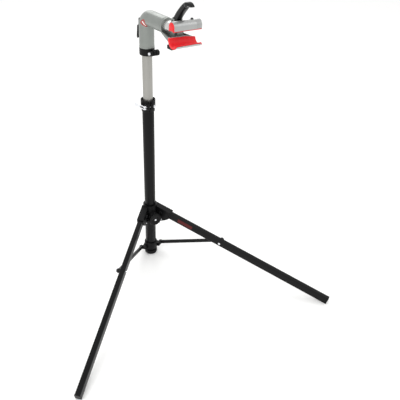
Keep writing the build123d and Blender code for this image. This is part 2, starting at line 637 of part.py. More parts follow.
def clamp_body():
    """Flange, neck, flared lower arm and the column that the upper jaw slides on."""
    face = BARREL_END + SLIDE
    body = bar_ahead(FLANGE_R, face, face + FLANGE_THICK, 0, BARREL_Z)
    body += bar_ahead(NECK_R, face, COLUMN_BACK + 4, 0, BARREL_Z)
    column = box(-COLUMN_HALF, COLUMN_HALF, COLUMN_BACK, COLUMN_FRONT, ARM_END_FLOOR + COLUMN_LOW, COLUMN_TOP)
    cheeks = side_plate([(COLUMN_BACK, COLUMN_TOP - 8), (COLUMN_FRONT - 2, COLUMN_TOP - 8),
                         (CAM_AHEAD + 7, CAM_Z + 7), (CAM_AHEAD - 7, CAM_Z + 7)],
                        -HANDLE_HALF - SLIDE - CHEEK, HANDLE_HALF + SLIDE + CHEEK)
    rail_z0 = CARRIAGE_Z0 - RAIL_BELOW
    rail = box(-RAIL_HALF, RAIL_HALF, COLUMN_FRONT, SLIDE_FRONT, rail_z0, COLUMN_TOP)
    rail += box(-RAIL_HALF - RAIL_LIP, RAIL_HALF + RAIL_LIP, SLIDE_FRONT - 2.5, SLIDE_FRONT,
                rail_z0, COLUMN_TOP)
    body += column + cheeks + rail + lower_arm()
    slot = HANDLE_HALF + SLIDE
    body -= box(-slot, slot, COLUMN_BACK - 4, SLIDE_FRONT, CAM_Z - CAM_DISC_R - 0.5, CAM_Z + 30)
    body -= bar_across(PIVOT_R + FIT, -COLUMN_HALF, COLUMN_HALF, CAM_AHEAD, CAM_Z)
    body -= bar_across(SHELL_R + FIT, -JAW_HALF - 5, JAW_HALF + 5, JAW_AHEAD, JAW_Z)
    return body - bar_ahead(SHAFT_R + FIT, face, COLUMN_BACK, 0, BARREL_Z)


def corner_cut():
    """What the back wall loses at its right corner, a wedge in (x, z)."""
    top = JAW_Z + SHELL_R * math.sin(math.radians(GROOVE_TO)) + 1
    end = JAW_HALF + PAD_END + 1
    wedge = Polyline((CORNER_FROM, top), (end, top), (end, top - CORNER_DROP), close=True)
    face = Plane.XZ.offset(JAW_AHEAD) * make_face(wedge)
    return extrude(face, amount=-2 * SHELL_R)


def lower_jaw():
    """Aluminium shell of the lower jaw."""
    shell = arc_band(GROOVE_R + PAD_THICK, SHELL_R, GROOVE_FROM, GROOVE_TO,
                     -JAW_HALF, JAW_HALF, JAW_AHEAD, JAW_Z)
    return shell - corner_cut()


def lower_pad():
    """Rubber lining of the lower jaw, with a rim at each end."""
    lining = arc_band(GROOVE_R, GROOVE_R + PAD_THICK - FIT, GROOVE_FROM, GROOVE_TO,
                      -JAW_HALF, JAW_HALF, JAW_AHEAD, JAW_Z)
    for x0 in (-JAW_HALF - PAD_END, JAW_HALF):
        lining += arc_band(GROOVE_R, SHELL_R, GROOVE_FROM, GROOVE_TO, x0, x0 + PAD_END, JAW_AHEAD, JAW_Z)
    return lining - corner_cut()


def jaw_tail():
    """Black bumper under the left end of the lower jaw."""
    x0, low = -JAW_HALF - 1, JAW_Z - SHELL_R - 5
    block = box(x0, x0 + TAIL_LENGTH, JAW_AHEAD - SHELL_R - 6, JAW_AHEAD - 4, low, low + 13)
    block = fillet(block.edges().filter_by(Axis.X), 3.0)
    block -= bar_across(SHELL_R + FIT, x0 - 4, JAW_HALF, JAW_AHEAD, JAW_Z)
    return block - box(-ARM_END_HALF - 0.1, ARM_END_HALF, 0, ARM_END + 1, low, JAW_Z)


def upper_section(radius, edge_z, x0, x1):
    """An arch in side view: a half round on two straight sides."""
    arch = bar_across(radius, x0, x1, JAW_AHEAD, UPPER_Z)
    return arch + box(x0, x1, JAW_AHEAD - radius, JAW_AHEAD + radius, edge_z, UPPER_Z)


def upper_jaw():
    """Aluminium shell of the upper jaw, with a recess for the handle."""
    inner_r = UPPER_R - SHELL_THICK
    shell = upper_section(UPPER_R, UPPER_EDGE_Z, UPPER_X0, UPPER_X1)
    shell -= upper_section(inner_r, UPPER_EDGE_Z - 10, UPPER_X0, UPPER_X1)
    shell &= box(UPPER_X0, UPPER_X1, JAW_AHEAD - 30, JAW_AHEAD + 30, UPPER_EDGE_Z, UPPER_Z + 30)
    floor = UPPER_Z + UPPER_R - 5.5
    back = JAW_AHEAD - UPPER_R - 4
    return shell - box(-RECESS_HALF, RECESS_HALF, back, JAW_AHEAD - 1, floor, UPPER_Z + 30)


def upper_pad():
    """Rubber block in the upper jaw, grooved underneath."""
    inner_r = UPPER_R - SHELL_THICK - FIT
    low = UPPER_EDGE_Z - UPPER_PAD_DROP
    x0, x1 = UPPER_X0 - UPPER_PAD_END, UPPER_X1 + UPPER_PAD_END
    pad = upper_section(inner_r, low, x0, x1)
    pad -= bar_across(UPPER_DISH_R, x0, x1, JAW_AHEAD,
                      low + UPPER_DISH - UPPER_DISH_R)
    half, floor = RECESS_HALF + 0.5, UPPER_Z + UPPER_R - 6
    return pad - box(-half, half, JAW_AHEAD - UPPER_R - 4, JAW_AHEAD - 0.5, floor, UPPER_Z + 30)


def jaw_carriage():
    """Block that slides on the column's rail and carries the upper shell."""
    back = COLUMN_FRONT + SLIDE
    wide = CARRIAGE_HALF
    block = box(-wide, wide, back, CARRIAGE_FRONT, CARRIAGE_Z0, CARRIAGE_Z1)
    block += box(-wide, wide, CARRIAGE_FRONT, JAW_AHEAD, BRIDGE_Z0, CARRIAGE_Z1)
    block = chamfer(block.edges().filter_by(Axis.X).group_by(Axis.Y)[-1].sort_by(Axis.Z)[-1], HANDLE_RELIEF)
    half = RAIL_HALF + SLIDE
    block -= box(-half, half, back, SLIDE_FRONT + SLIDE, CARRIAGE_Z0, CARRIAGE_Z1)
    lip = half + RAIL_LIP
    block -= box(-lip, lip, SLIDE_FRONT - 2.5 - SLIDE, SLIDE_FRONT + SLIDE, CARRIAGE_Z0, CARRIAGE_Z1)
    block -= upper_section(UPPER_R, UPPER_EDGE_Z - 10, UPPER_X0, UPPER_X1)
    return block.solids().sort_by(Axis.Y)[-1]


def jaw_adjuster():
    """Small black screw head on top of the upper shell."""
    s = JAW_AHEAD - 3
    head = post(ADJUSTER_R, UPPER_Z + UPPER_R - 6, UPPER_Z + UPPER_R + 3.5, ADJUSTER_X, s)
    head = fillet(head.edges().group_by(Axis.Z)[-1], 1.2)
    return head - upper_section(UPPER_R, UPPER_EDGE_Z, -JAW_HALF, JAW_HALF)


def cam_handle():
    """Cam disc and handle in one moulding."""
    low = HANDLE_THICK / 2
    path = [(CAM_AHEAD - 9, CAM_Z + low), (CAM_AHEAD + 5, CAM_Z + 28), (CAM_AHEAD + 40, CAM_Z + 61),
            (CAM_AHEAD + 51, CAM_Z + 47), (CAM_AHEAD + 26, CAM_Z + 19), (CAM_AHEAD + 11, CAM_Z)]
    grip = side_plate(path, -HANDLE_HALF, HANDLE_HALF)
    handle = grip + bar_across(CAM_DISC_R, -HANDLE_HALF, HANDLE_HALF, CAM_AHEAD, CAM_Z)
    return handle - bar_across(PIVOT_R + RUN, -HANDLE_HALF, HANDLE_HALF, CAM_AHEAD, CAM_Z)


def handle_tip():
    """Hooked end of the handle, past a seam."""
    path = [(CAM_AHEAD + 40, CAM_Z + 61), (CAM_AHEAD + 50, CAM_Z + 67), (CAM_AHEAD + 63, CAM_Z + 67.5),
            (CAM_AHEAD + 72, CAM_Z + 64), (CAM_AHEAD + 80, CAM_Z + 56), (CAM_AHEAD + 70, CAM_Z + 56.5),
            (CAM_AHEAD + 59, CAM_Z + 56), (CAM_AHEAD + 51, CAM_Z + 47)]
    return side_plate(path, -HANDLE_HALF, HANDLE_HALF)


def cam_pin():
    """Hinge pin of the handle, held in the column's cheeks."""
    half = HANDLE_HALF + SLIDE + CHEEK
    return bar_across(PIVOT_R, -half, half, CAM_AHEAD, CAM_Z)


# ================================================================ hub

def hub_socket():
    """Two ears and a roof for one leg, drawn in the leg's own frame."""
    end_x = (SOCKET_END_R - LEG_PIVOT_R) / math.sin(_slope)
    outer = LEG_WIDTH / 2 + EAR_GAP + EAR
    roof_z = LEG_HEIGHT / 2 + EAR_GAP
    roof = Pos((end_x - ROOF_BACK) / 2, 0, roof_z + ROOF / 2) * Box(end_x + ROOF_BACK, 2 * outer, ROOF)
    top = in_leg(roof)
    ears = None
    for x0 in (LEG_OFFSET - outer, LEG_OFFSET + outer - EAR):
        flank = side_plate(ear_outline(end_x, roof_z + ROOF), x0, x0 + EAR)
        ears = flank if ears is None else ears + flank
    return top + ears


def ear_outline(end_x, top):
    """Ear outline in (ahead, z): it ends square to the leg, under the roof's top."""
    along = (math.sin(_slope), -math.cos(_slope))
    out = (math.cos(_slope), math.sin(_slope))

    def at(x, z):
        return (LEG_PIVOT_R + x * along[0] + z * out[0], LEG_PIVOT_Z + x * along[1] + z * out[1])

    return [(10, HUB_Z0), (LEG_PIVOT_R + 2, HUB_Z0), (LEG_PIVOT_R + 22, HUB_Z0 + 9),
            at(end_x, -LEG_HEIGHT / 2 + 1), at(end_x, top), at(2 - ROOF_BACK, top)]


def hub_casting():
    """Sliding hub: sleeve, knob boss and two leg sockets."""
    body = post(HUB_R, HUB_Z0, HUB_Z1)
    body += bar_ahead(BOSS_R, 0, BOSS_AHEAD, 0, KNOB_Z)
    socket = hub_socket()
    body += right(socket) + left(socket)
    half = LEG_WIDTH / 2 + EAR_GAP
    back, ahead = HUB_R + 2 * SLIDE, 2 * SOCKET_END_R
    leg_way = side_plate(
        [(back, 0), (back, LEG_PIVOT_Z), (back, roof_height(back)), (ahead, roof_height(ahead)), (ahead, 0)],
        LEG_OFFSET - half, LEG_OFFSET + half)
    hinge = bar_across(PIVOT_R + FIT, LEG_OFFSET - LEG_WIDTH, LEG_OFFSET + LEG_WIDTH, LEG_PIVOT_R,
                       LEG_PIVOT_Z)
    nut_seat = bar_across(NUT_SEAT_R, NUT_FACE - 3 * NUT_THICK, NUT_FACE, LEG_PIVOT_R, LEG_PIVOT_Z)
    cuts = leg_way + hinge + nut_seat
    body -= right(cuts)
    body -= left(cuts)
    body -= post(MAST_R + SLIDE, HUB_Z0, HUB_Z1 + 10)
    body -= post(MAST_R + SLIDE + HUB_BUSH_WALL, HUB_Z0 + HUB_LIP, HUB_Z1 - HUB_LIP)
    body -= bar_ahead(PIVOT_R + RUN, MAST_R, BOSS_AHEAD, 0, KNOB_Z)
    return body.solids().sort_by(SortBy.VOLUME)[-1]


def roof_height(s):
    """Height of the socket's ceiling at a distance ahead of the mast's axis."""
    ceiling = LEG_HEIGHT / 2 + EAR_GAP
    return LEG_PIVOT_Z + ceiling / math.sin(_slope) - (s - LEG_PIVOT_R) / math.tan(_slope)


def hub_bush():
    """Plastic liner of the hub's sleeve."""
    outer = MAST_R + SLIDE + HUB_BUSH_WALL - FIT
    low, high = HUB_Z0 + HUB_LIP, HUB_Z1 - HUB_LIP
    bush = post(outer, low, high) - post(MAST_R + SLIDE, low, high)
    return bush - bar_ahead(PIVOT_R + RUN, 0, BOSS_AHEAD, 0, KNOB_Z)


def leg_pivot_bolt():
    """Bolt through one leg's socket, its head outboard."""
    out = LEG_OFFSET + LEG_WIDTH / 2 + EAR_GAP + EAR
    shank = bar_across(PIVOT_R, NUT_FACE - 4, out, LEG_PIVOT_R, LEG_PIVOT_Z)
    head = bar_across(BOLT_HEAD_R, out, out + BOLT_HEAD, LEG_PIVOT_R, LEG_PIVOT_Z)
    return shank + chamfer(head.edges().filter_by(GeomType.CIRCLE), 0.8).solids()[0]


def leg_pivot_nut():
    """Hexagon nut on the inboard ear."""
    back = NUT_FACE - NUT_THICK
    hexagon = Plane.YZ.offset(back) * Pos(-LEG_PIVOT_R, LEG_PIVOT_Z) * RegularPolygon(NUT_R, 6)
    nut = extrude(hexagon, amount=NUT_THICK)
    return nut - bar_across(PIVOT_R + FIT, back, NUT_FACE, LEG_PIVOT_R, LEG_PIVOT_Z)


def hub_screw():
    """Bright screw head low on the inboard ear."""
    s, z = LEG_PIVOT_R + 3, HUB_Z0 + 10
    screw = bar_across(HUB_SCREW_R, NUT_FACE - 3, NUT_FACE, s, z)
    return fillet(screw.edges().group_by(Axis.X)[0], 1.2)


def hub_knob():
    """Round knob with a scalloped edge."""
    start = BOSS_AHEAD + SLIDE
    knob = bar_ahead(KNOB_R, start, start + KNOB_DEPTH, 0, KNOB_Z)
    knob = chamfer(knob.edges().group_by(Axis.Y)[0], 2.0)
    for i in range(KNOB_LOBES):
        angle = 2 * math.pi * i / KNOB_LOBES
        x, z = (KNOB_R + 2) * math.cos(angle), KNOB_Z + (KNOB_R + 2) * math.sin(angle)
        knob -= bar_ahead(KNOB_LOBE_R, start, start + KNOB_DEPTH, x, z)
    dish = bar_ahead(KNOB_DISH_R, start + KNOB_DEPTH - 3, start + KNOB_DEPTH, 0, KNOB_Z)
    return knob - dish - bar_ahead(PIVOT_R + FIT, start, start + KNOB_DEPTH, 0, KNOB_Z)


def knob_stud():
    """Screw of the knob, whose bright end shows in the dish."""
    return bar_ahead(PIVOT_R, MAST_R + 1.5, BOSS_AHEAD + SLIDE + KNOB_DEPTH - 0.5, 0, KNOB_Z)


# ================================================================ legs and struts

def behind_hinge():
    """What a leg's upper end loses so that it turns under its socket's roof."""
    corner = Pos(-LEG_BACK, 0, 0) * Box(2 * LEG_BACK, 2 * LEG_WIDTH, 2 * LEG_HEIGHT)
    return corner - Rot(90, 0, 0) * Cylinder(LEG_HEIGHT / 2, 3 * LEG_WIDTH)


def leg_tube():
    """Rounded rectangular tube from behind its hinge to the foot."""
    length = LEG_LENGTH + LEG_BACK
    outer = rounded_bar(length, LEG_WIDTH, LEG_HEIGHT, LEG_CORNER)
    inner = rounded_bar(length, LEG_WIDTH - 2 * LEG_WALL, LEG_HEIGHT - 2 * LEG_WALL,
                        LEG_CORNER - LEG_WALL)
    tube_ = Pos(-LEG_BACK, 0, 0) * (outer - inner) - behind_hinge()
    tube_ -= Rot(90, 0, 0) * Cylinder(PIVOT_R + RUN, 2 * LEG_WIDTH)
    tube_ -= Pos(STRUT_REACH, 0, 0) * Rot(90, 0, 0) * Cylinder(STUD_R + FIT, 2 * LEG_WIDTH)
    return tube_


def leg_plug():
    """Solid plug in the tube's top that the hinge bolt goes through."""
    plug = rounded_bar(PLUG_LENGTH, LEG_WIDTH - 2 * (LEG_WALL + FIT), LEG_HEIGHT - 2 * (LEG_WALL + FIT),
                       LEG_CORNER - LEG_WALL)
    plug = Pos(-LEG_BACK, 0, 0) * plug - behind_hinge()
    return plug - Rot(90, 0, 0) * Cylinder(PIVOT_R + RUN, 2 * LEG_WIDTH)


def leg_cap():
    """End cap, cut level so that it stands flat on the floor."""
    flange = rounded_bar(CAP_FLANGE, LEG_WIDTH + 2 * CAP_LIP, LEG_HEIGHT + 2 * CAP_LIP, LEG_CORNER)
    plug = rounded_bar(CAP_SEAT, LEG_WIDTH - 2 * (LEG_WALL + FIT), LEG_HEIGHT - 2 * (LEG_WALL + FIT),
                       LEG_CORNER - LEG_WALL)
    return Pos(LEG_LENGTH, 0, 0) * (flange + Pos(-CAP_SEAT, 0, 0) * plug)


def level_cut(cap):
    """Trim everything under the floor."""
    wide = 2 * LEG_LENGTH
    return cap - box(-wide, wide, -wide, wide, -LEG_HEIGHT, 0)


def strut_nut():
    """Bright cap nut and stud on the inboard side of a leg."""
    half = LEG_WIDTH / 2
    stud = Pos(0, -EAR_GAP / 2, 0) * Rot(90, 0, 0) * Cylinder(STUD_R, LEG_WIDTH - EAR_GAP)
    nut = Pos(0, -half - CAP_NUT / 2, 0) * Rot(90, 0, 0) * Cylinder(CAP_NUT_R, CAP_NUT)
    nut = fillet(nut.edges().group_by(Axis.Y)[0], 1.6)
    return Pos(STRUT_REACH, 0, 0) * (stud + nut)


def strut_bar():
    """Flat-sided tube with a round eye at each end."""
    bar = rounded_bar(STRUT_LENGTH, STRUT_WIDTH, STRUT_HEIGHT, STRUT_CORNER)
    eye = Rot(90, 0, 0) * Cylinder(STRUT_EYE_R, STRUT_WIDTH)
    hollow = Pos(STRUT_LENGTH / 2, 0, 0) * Box(STRUT_LENGTH - 4 * STRUT_EYE_R,
                                               STRUT_WIDTH - 2 * STRUT_WALL,
                                               STRUT_HEIGHT - 2 * STRUT_WALL)
    bar = bar + eye + Pos(STRUT_LENGTH, 0, 0) * eye - hollow
    bar -= Rot(90, 0, 0) * Cylinder(PIVOT_R + RUN, 2 * STRUT_WIDTH)
    return bar - Pos(STRUT_LENGTH, 0, 0) * Rot(90, 0, 0) * Cylinder(PIVOT_R + FIT, 2 * STRUT_WIDTH)


def strut_bolt():
    """Bolt and washer in the strut's outer eye, clear of the leg."""
    half = STRUT_WIDTH / 2
    shank = Pos(0, -WASHER / 2, 0) * Rot(90, 0, 0) * Cylinder(PIVOT_R, STRUT_WIDTH + WASHER)
    head = Pos(0, half + BOLT_HEAD / 2, 0) * Rot(90, 0, 0) * Cylinder(BOLT_HEAD_R, BOLT_HEAD)
    head = fillet(head.edges().group_by(Axis.Y)[-1], 1.5)
    washer = Pos(0, -half - WASHER / 2, 0) * Rot(90, 0, 0) * Cylinder(BOLT_HEAD_R, WASHER)
    return Pos(STRUT_LENGTH, 0, 0) * (shank + head + washer)


# ================================================================ assembly

def both_sides(shape):
    """The pair of identical pieces on the two legs, as one group of separate solids."""
    return Compound(children=[right(shape), left(shape)])


NODES = {
    "outer_tube": tube(MAST_R, MAST_WALL, FOOT_FLOOR, MAST_TOP),
    "mast_foot": mast_foot(),
    "strut_collar": strut_collar(),
    "strut_pivot_bolts": both_sides(strut_pivot_bolt()),
    "height_collar": at_collar(height_collar()),
    "guide_bush": guide_bush(),
    "height_skewer": at_collar(height_skewer()),
    "height_nut": at_collar(height_nut()),
    "height_lever": at_collar(height_lever()),
    "inner_tube": tube(INNER_R, INNER_WALL, INNER_BOTTOM, INNER_TOP),
    "inner_plug": inner_plug(),
    "head_casting": at_head(head_casting()),
    "swivel_collar": at_head(swivel_collar()),
    "swivel_screw": at_head(swivel_screw()),
    "swivel_knob": at_head(swivel_knob()),
    "barrel_bush": at_head(barrel_bush()),
    "lock_shoe": at_head(lock_shoe()),
    "lock_rod": at_head(lock_rod()),
    "lock_lever": at_head(lock_lever()),
    "lock_pin": at_head(lock_pin()),
    "clamp_shaft": at_clamp(clamp_shaft()),
    "shaft_ring": at_clamp(shaft_ring()),
    "clamp_body": at_clamp(clamp_body()),
    "lower_jaw": at_clamp(lower_jaw()),
    "lower_pad": at_clamp(lower_pad()),
    "jaw_tail": at_clamp(jaw_tail()),
    "upper_jaw": at_clamp(upper_jaw()),
    "upper_pad": at_clamp(upper_pad()),
    "jaw_carriage": at_clamp(jaw_carriage()),
    "jaw_adjuster": at_clamp(jaw_adjuster()),
    "cam_handle": at_clamp(cam_handle()),
    "handle_tip": at_clamp(handle_tip()),
    "cam_pin": at_clamp(cam_pin()),
    "hub_casting": hub_casting(),
    "hub_bush": hub_bush(),
    "leg_pivot_bolts": both_sides(leg_pivot_bolt()),
    "leg_pivot_nuts": both_sides(leg_pivot_nut()),
    "hub_screws": both_sides(hub_screw()),
    "hub_knob": hub_knob(),
    "knob_stud": knob_stud(),
}

for side, place in (("right", right), ("left", left)):
    NODES[f"leg_tube_{side}"] = place(in_leg(leg_tube()))
    NODES[f"leg_plug_{side}"] = place(in_leg(leg_plug()))
    NODES[f"leg_cap_{side}"] = level_cut(place(in_leg(leg_cap())))
    NODES[f"strut_nut_{side}"] = place(in_leg(strut_nut()))
    NODES[f"strut_bar_{side}"] = place(in_strut(strut_bar()))
    NODES[f"strut_bolt_{side}"] = place(in_strut(strut_bolt()))

os.makedirs("parts", exist_ok=True)
for name, shape in NODES.items():
    export_step(shape, f"parts/{name}.step")
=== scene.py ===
"""Folding workshop stand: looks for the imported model, built piece by piece on its frame.

Local frames follow the model's own joints: x across a sub-assembly, y ahead of the mast, z up.
Local sizes are in millimetres and are turned to metres once, by Place.put.
"""

import json
import logging
import math
from dataclasses import dataclass, field, replace
from enum import Enum

import bmesh
import bpy
import numpy as np
from mathutils import Matrix, Vector

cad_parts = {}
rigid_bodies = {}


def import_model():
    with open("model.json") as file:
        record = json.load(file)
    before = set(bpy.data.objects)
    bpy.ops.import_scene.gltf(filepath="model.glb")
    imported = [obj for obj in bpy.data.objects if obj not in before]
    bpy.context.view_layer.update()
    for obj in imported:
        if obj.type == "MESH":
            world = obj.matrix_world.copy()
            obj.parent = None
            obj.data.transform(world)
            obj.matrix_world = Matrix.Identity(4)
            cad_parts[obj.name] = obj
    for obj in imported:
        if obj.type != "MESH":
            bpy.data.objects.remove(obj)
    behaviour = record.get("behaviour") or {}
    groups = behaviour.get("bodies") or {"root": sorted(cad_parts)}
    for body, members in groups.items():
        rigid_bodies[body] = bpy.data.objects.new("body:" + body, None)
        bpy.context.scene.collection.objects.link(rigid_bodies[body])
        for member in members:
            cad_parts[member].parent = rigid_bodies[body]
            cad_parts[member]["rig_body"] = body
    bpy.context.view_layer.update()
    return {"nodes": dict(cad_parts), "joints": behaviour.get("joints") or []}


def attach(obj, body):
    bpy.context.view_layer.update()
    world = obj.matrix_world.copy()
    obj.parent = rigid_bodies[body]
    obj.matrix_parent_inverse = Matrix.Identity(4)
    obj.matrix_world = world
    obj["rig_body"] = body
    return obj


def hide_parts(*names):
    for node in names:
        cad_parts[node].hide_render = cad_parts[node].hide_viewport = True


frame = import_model()

LOG = logging.getLogger("workstand")
MM = 0.001


class Slot(Enum):
    """Material slots of the record that a finish stands for."""

    BLACK_POWDER = "black_powder"
    BLACK_PLASTIC = "black_plastic"
    BUSH_PLASTIC = "bush_plastic"
    SILVER_TUBE = "silver_tube"
    CAST_SILVER = "cast_silver"
    BRIGHT_ALUMINIUM = "bright_aluminium"
    RED_RUBBER = "red_rubber"
    GLOSS_BLACK = "gloss_black"
    CHROME = "chrome"
    DARK_STEEL = "dark_steel"


class Side(Enum):
    """The two legs, each with the sign of its outboard direction along its hinge."""

    RIGHT = 1
    LEFT = -1

    @property
    def word(self) -> str:
        """The side's name as node and body names spell it."""
        return self.name.lower()


# ---------------------------------------------------------------- finishes

def linear(colour: str) -> tuple[float, float, float, float]:
    """Turn an sRGB hex colour into a linear one.

    Args:
        colour: six hex digits after a hash.

    Returns:
        Red, green, blue and alpha for a colour socket.
    """
    parts = np.array([int(colour[i:i + 2], 16) for i in (1, 3, 5)]) / 255
    values = np.where(parts <= 0.04045, parts / 12.92, ((parts + 0.055) / 1.055) ** 2.4)
    return (*values.tolist(), 1.0)


def add(
    tree: bpy.types.NodeTree,
    kind: str,
    values: dict | None = None,
    links: dict | None = None,
    **settings: object,
) -> bpy.types.Node:
    """Add one node with its settings, socket values and incoming links.

    Args:
        tree: the material's node tree.
        kind: the node's type name.
        values: socket name or index to a fixed value.
        links: socket name or index to the socket that feeds it.
        settings: attributes of the node itself.

    Returns:
        The new node.
    """
    new = tree.nodes.new(kind)
    for key, value in settings.items():
        setattr(new, key, value)
    for key, value in (values or {}).items():
        new.inputs[key].default_value = value
    for key, source in (links or {}).items():
        tree.links.new(source, new.inputs[key])
    return new


@dataclass(frozen=True)
class Finish:
    """A surface: its colour in two close shades, its gloss and a small relief.

    The shades mix in soft clouds. The relief is noise whose grain is `grain_mm` wide and is drawn
    out `stretch` times along `along`, so that it can be pimples, orange peel or drawing lines.
    """

    name: str
    slot: Slot
    colour: str
    shade: str
    roughness: float
    rough_spread: float
    grain_mm: float
    depth_mm: float
    stretch: float = 1.0
    along: tuple[float, float, float] = (0.0, 0.0, 1.0)
    cloud_mm: float = 60.0
    metallic: float = 0.0
    specular: float = 0.5
    coat: float = 0.0
    coat_roughness: float = 0.1
    sheen: float = 0.0

    def material(self) -> bpy.types.Material:
        """Return the finish's material, made the first time it is asked for."""
        found = bpy.data.materials.get(self.name)
        if found:
            return found
        made = bpy.data.materials.new(self.name)
        made.use_nodes = True
        made.diffuse_color = linear(self.colour)
        tree = made.node_tree
        tree.nodes.clear()
        shader = add(tree, "ShaderNodeBsdfPrincipled", {
            "Metallic": self.metallic,
            "Coat Weight": self.coat,
            "Coat Roughness": self.coat_roughness,
            "Sheen Weight": self.sheen,
            "Specular IOR Level": self.specular,
        })
        add(tree, "ShaderNodeOutputMaterial", links={"Surface": shader.outputs["BSDF"]})
        coords = add(tree, "ShaderNodeTexCoord").outputs["Object"]
        self.paint(tree, shader, coords)
        self.relieve(tree, shader, self.grain(tree, coords))
        return made

    def paint(self, tree: bpy.types.NodeTree, shader: bpy.types.Node, coords: bpy.types.NodeSocket) -> None:
        """Mix the two shades in clouds `cloud_mm` wide, and let the gloss vary with them."""
        cloud = add(tree, "ShaderNodeTexNoise", {"Scale": 1 / (self.cloud_mm * MM), "Detail": 3.0},
                    {"Vector": coords})
        mix = add(tree, "ShaderNodeMix", {6: linear(self.colour), 7: linear(self.shade)},
                  {0: cloud.outputs["Fac"]}, data_type="RGBA")
        gloss = add(tree, "ShaderNodeMapRange", {
            "From Min": 0.3, "From Max": 0.7,
            "To Min": max(self.roughness - self.rough_spread, 0.02),
            "To Max": self.roughness + self.rough_spread,
        }, {"Value": cloud.outputs["Fac"]})
        tree.links.new(mix.outputs[2], shader.inputs["Base Color"])
        tree.links.new(gloss.outputs["Result"], shader.inputs["Roughness"])

    def aligned(self, tree: bpy.types.NodeTree, coords: bpy.types.NodeSocket) -> bpy.types.NodeSocket:
        """Turn the coordinates so that `along` becomes Z, and shrink that axis by `stretch`."""
        turn = Vector(self.along).rotation_difference(Vector((0, 0, 1))).to_euler()
        turned = add(tree, "ShaderNodeMapping", {"Rotation": turn}, {"Vector": coords})
        return add(tree, "ShaderNodeMapping", {"Scale": (1, 1, 1 / self.stretch)},
                   {"Vector": turned.outputs["Vector"]}).outputs["Vector"]

    def grain(self, tree: bpy.types.NodeTree, coords: bpy.types.NodeSocket) -> bpy.types.NodeSocket:
        """Height of the relief, from 0 to 1."""
        return add(tree, "ShaderNodeTexNoise", {"Scale": 1 / (self.grain_mm * MM), "Detail": 2.0},
                   {"Vector": self.aligned(tree, coords)}).outputs["Fac"]

    def relieve(self, tree: bpy.types.NodeTree, shader: bpy.types.Node, height: bpy.types.NodeSocket) -> None:
        """Turn the height into a bump `depth_mm` deep."""
        bump = add(tree, "ShaderNodeBump", {"Strength": 1.0, "Distance": self.depth_mm * MM},
                   {"Height": height})
        tree.links.new(bump.outputs["Normal"], shader.inputs["Normal"])


@dataclass(frozen=True)
class SparkErodedFinish(Finish):
    """A moulding from a spark-eroded tool: packed pits that break a highlight up."""

    def grain(self, tree: bpy.types.NodeTree, coords: bpy.types.NodeSocket) -> bpy.types.NodeSocket:
        """Distance to the nearest of scattered pit centres."""
        return add(tree, "ShaderNodeTexVoronoi", {"Scale": 1 / (self.grain_mm * MM)},
                   {"Vector": self.aligned(tree, coords)}).outputs["Distance"]


@dataclass(frozen=True)
class TurnedFinish(Finish):
    """A lathe-cut surface: even tool rings square to `along`."""

    def grain(self, tree: bpy.types.NodeTree, coords: bpy.types.NodeSocket) -> bpy.types.NodeSocket:
        """Sine of the distance along the axis, one period for each feed of the tool."""
        feed = math.pi / 10 / (self.grain_mm * MM)
        return add(tree, "ShaderNodeTexWave", {"Scale": feed, "Distortion": 0.3},
                   {"Vector": self.aligned(tree, coords)}, bands_direction="Z").outputs["Fac"]


@dataclass(frozen=True)
class PlateFinish(Finish):
    """Plating that has mellowed: small specks of dust and handling in its relief."""

    def grain(self, tree: bpy.types.NodeTree, coords: bpy.types.NodeSocket) -> bpy.types.NodeSocket:
        """Coarse noise sharpened by a second, finer one."""
        broad = add(tree, "ShaderNodeTexNoise", {"Scale": 1 / (self.grain_mm * MM)}, {"Vector": coords})
        return add(tree, "ShaderNodeTexNoise", {"Scale": 3 / (self.grain_mm * MM)},
                   {"Vector": broad.outputs["Color"]}).outputs["Fac"]


# Polyester powder baked on steel tube: low satin gloss with orange peel, drawn at 3 mm to show.
SATIN_POWDER = Finish("satin_powder_coat", Slot.BLACK_POWDER, "#060607", "#0b0b0c", 0.3, 0.05, 3.0, 0.03,
                      cloud_mm=90, specular=0.16)
# Glass-filled nylon from a spark-eroded tool: darker and duller, its highlights crumbled by pits.
ERODED_NYLON = SparkErodedFinish("spark_eroded_nylon", Slot.BLACK_PLASTIC, "#060607", "#0c0c0d", 0.42, 0.06,
                                 1.6, 0.05, cloud_mm=25, specular=0.16)
# Unfilled nylon liner, moulded smooth: milky grey with a waxy gloss.
NATURAL_NYLON = Finish("natural_nylon", Slot.BUSH_PLASTIC, "#b4b4ae", "#a4a49e", 0.42, 0.05, 2.0, 0.02,
                       cloud_mm=20)
# Aluminium tube pulled through a die and satin anodised: long fine drawing lines, soft sheen.
DRAWN_TUBE = Finish("drawn_satin_aluminium", Slot.SILVER_TUBE, "#9f9e9a", "#94938e", 0.34, 0.04, 0.9, 0.012,
                    stretch=60, cloud_mm=120, metallic=0.75)
# Silver polyester powder on a die casting: mid grey-green flake, softly pebbled.
SILVER_CASTING = Finish("silver_powder_casting", Slot.CAST_SILVER, "#8a8e8a", "#7c807c", 0.36, 0.05, 2.4,
                        0.03, cloud_mm=35, metallic=0.6, coat=0.15, coat_roughness=0.3)
# Aluminium spigot cut on a lathe: bright, with concentric tool rings drawn at 1.2 mm to show.
TURNED_SPIGOT = TurnedFinish("turned_aluminium", Slot.BRIGHT_ALUMINIUM, "#cfcfcd", "#c0c0be", 0.26, 0.04,
                             1.2, 0.015, metallic=0.8)
# Extruded jaw section, clear anodised: pale satin metal with die lines along its length.
JAW_EXTRUSION = Finish("anodised_extrusion", Slot.BRIGHT_ALUMINIUM, "#b0b1b0", "#a0a2a1", 0.3, 0.05, 0.8,
                       0.015, stretch=40, cloud_mm=30, metallic=0.7)
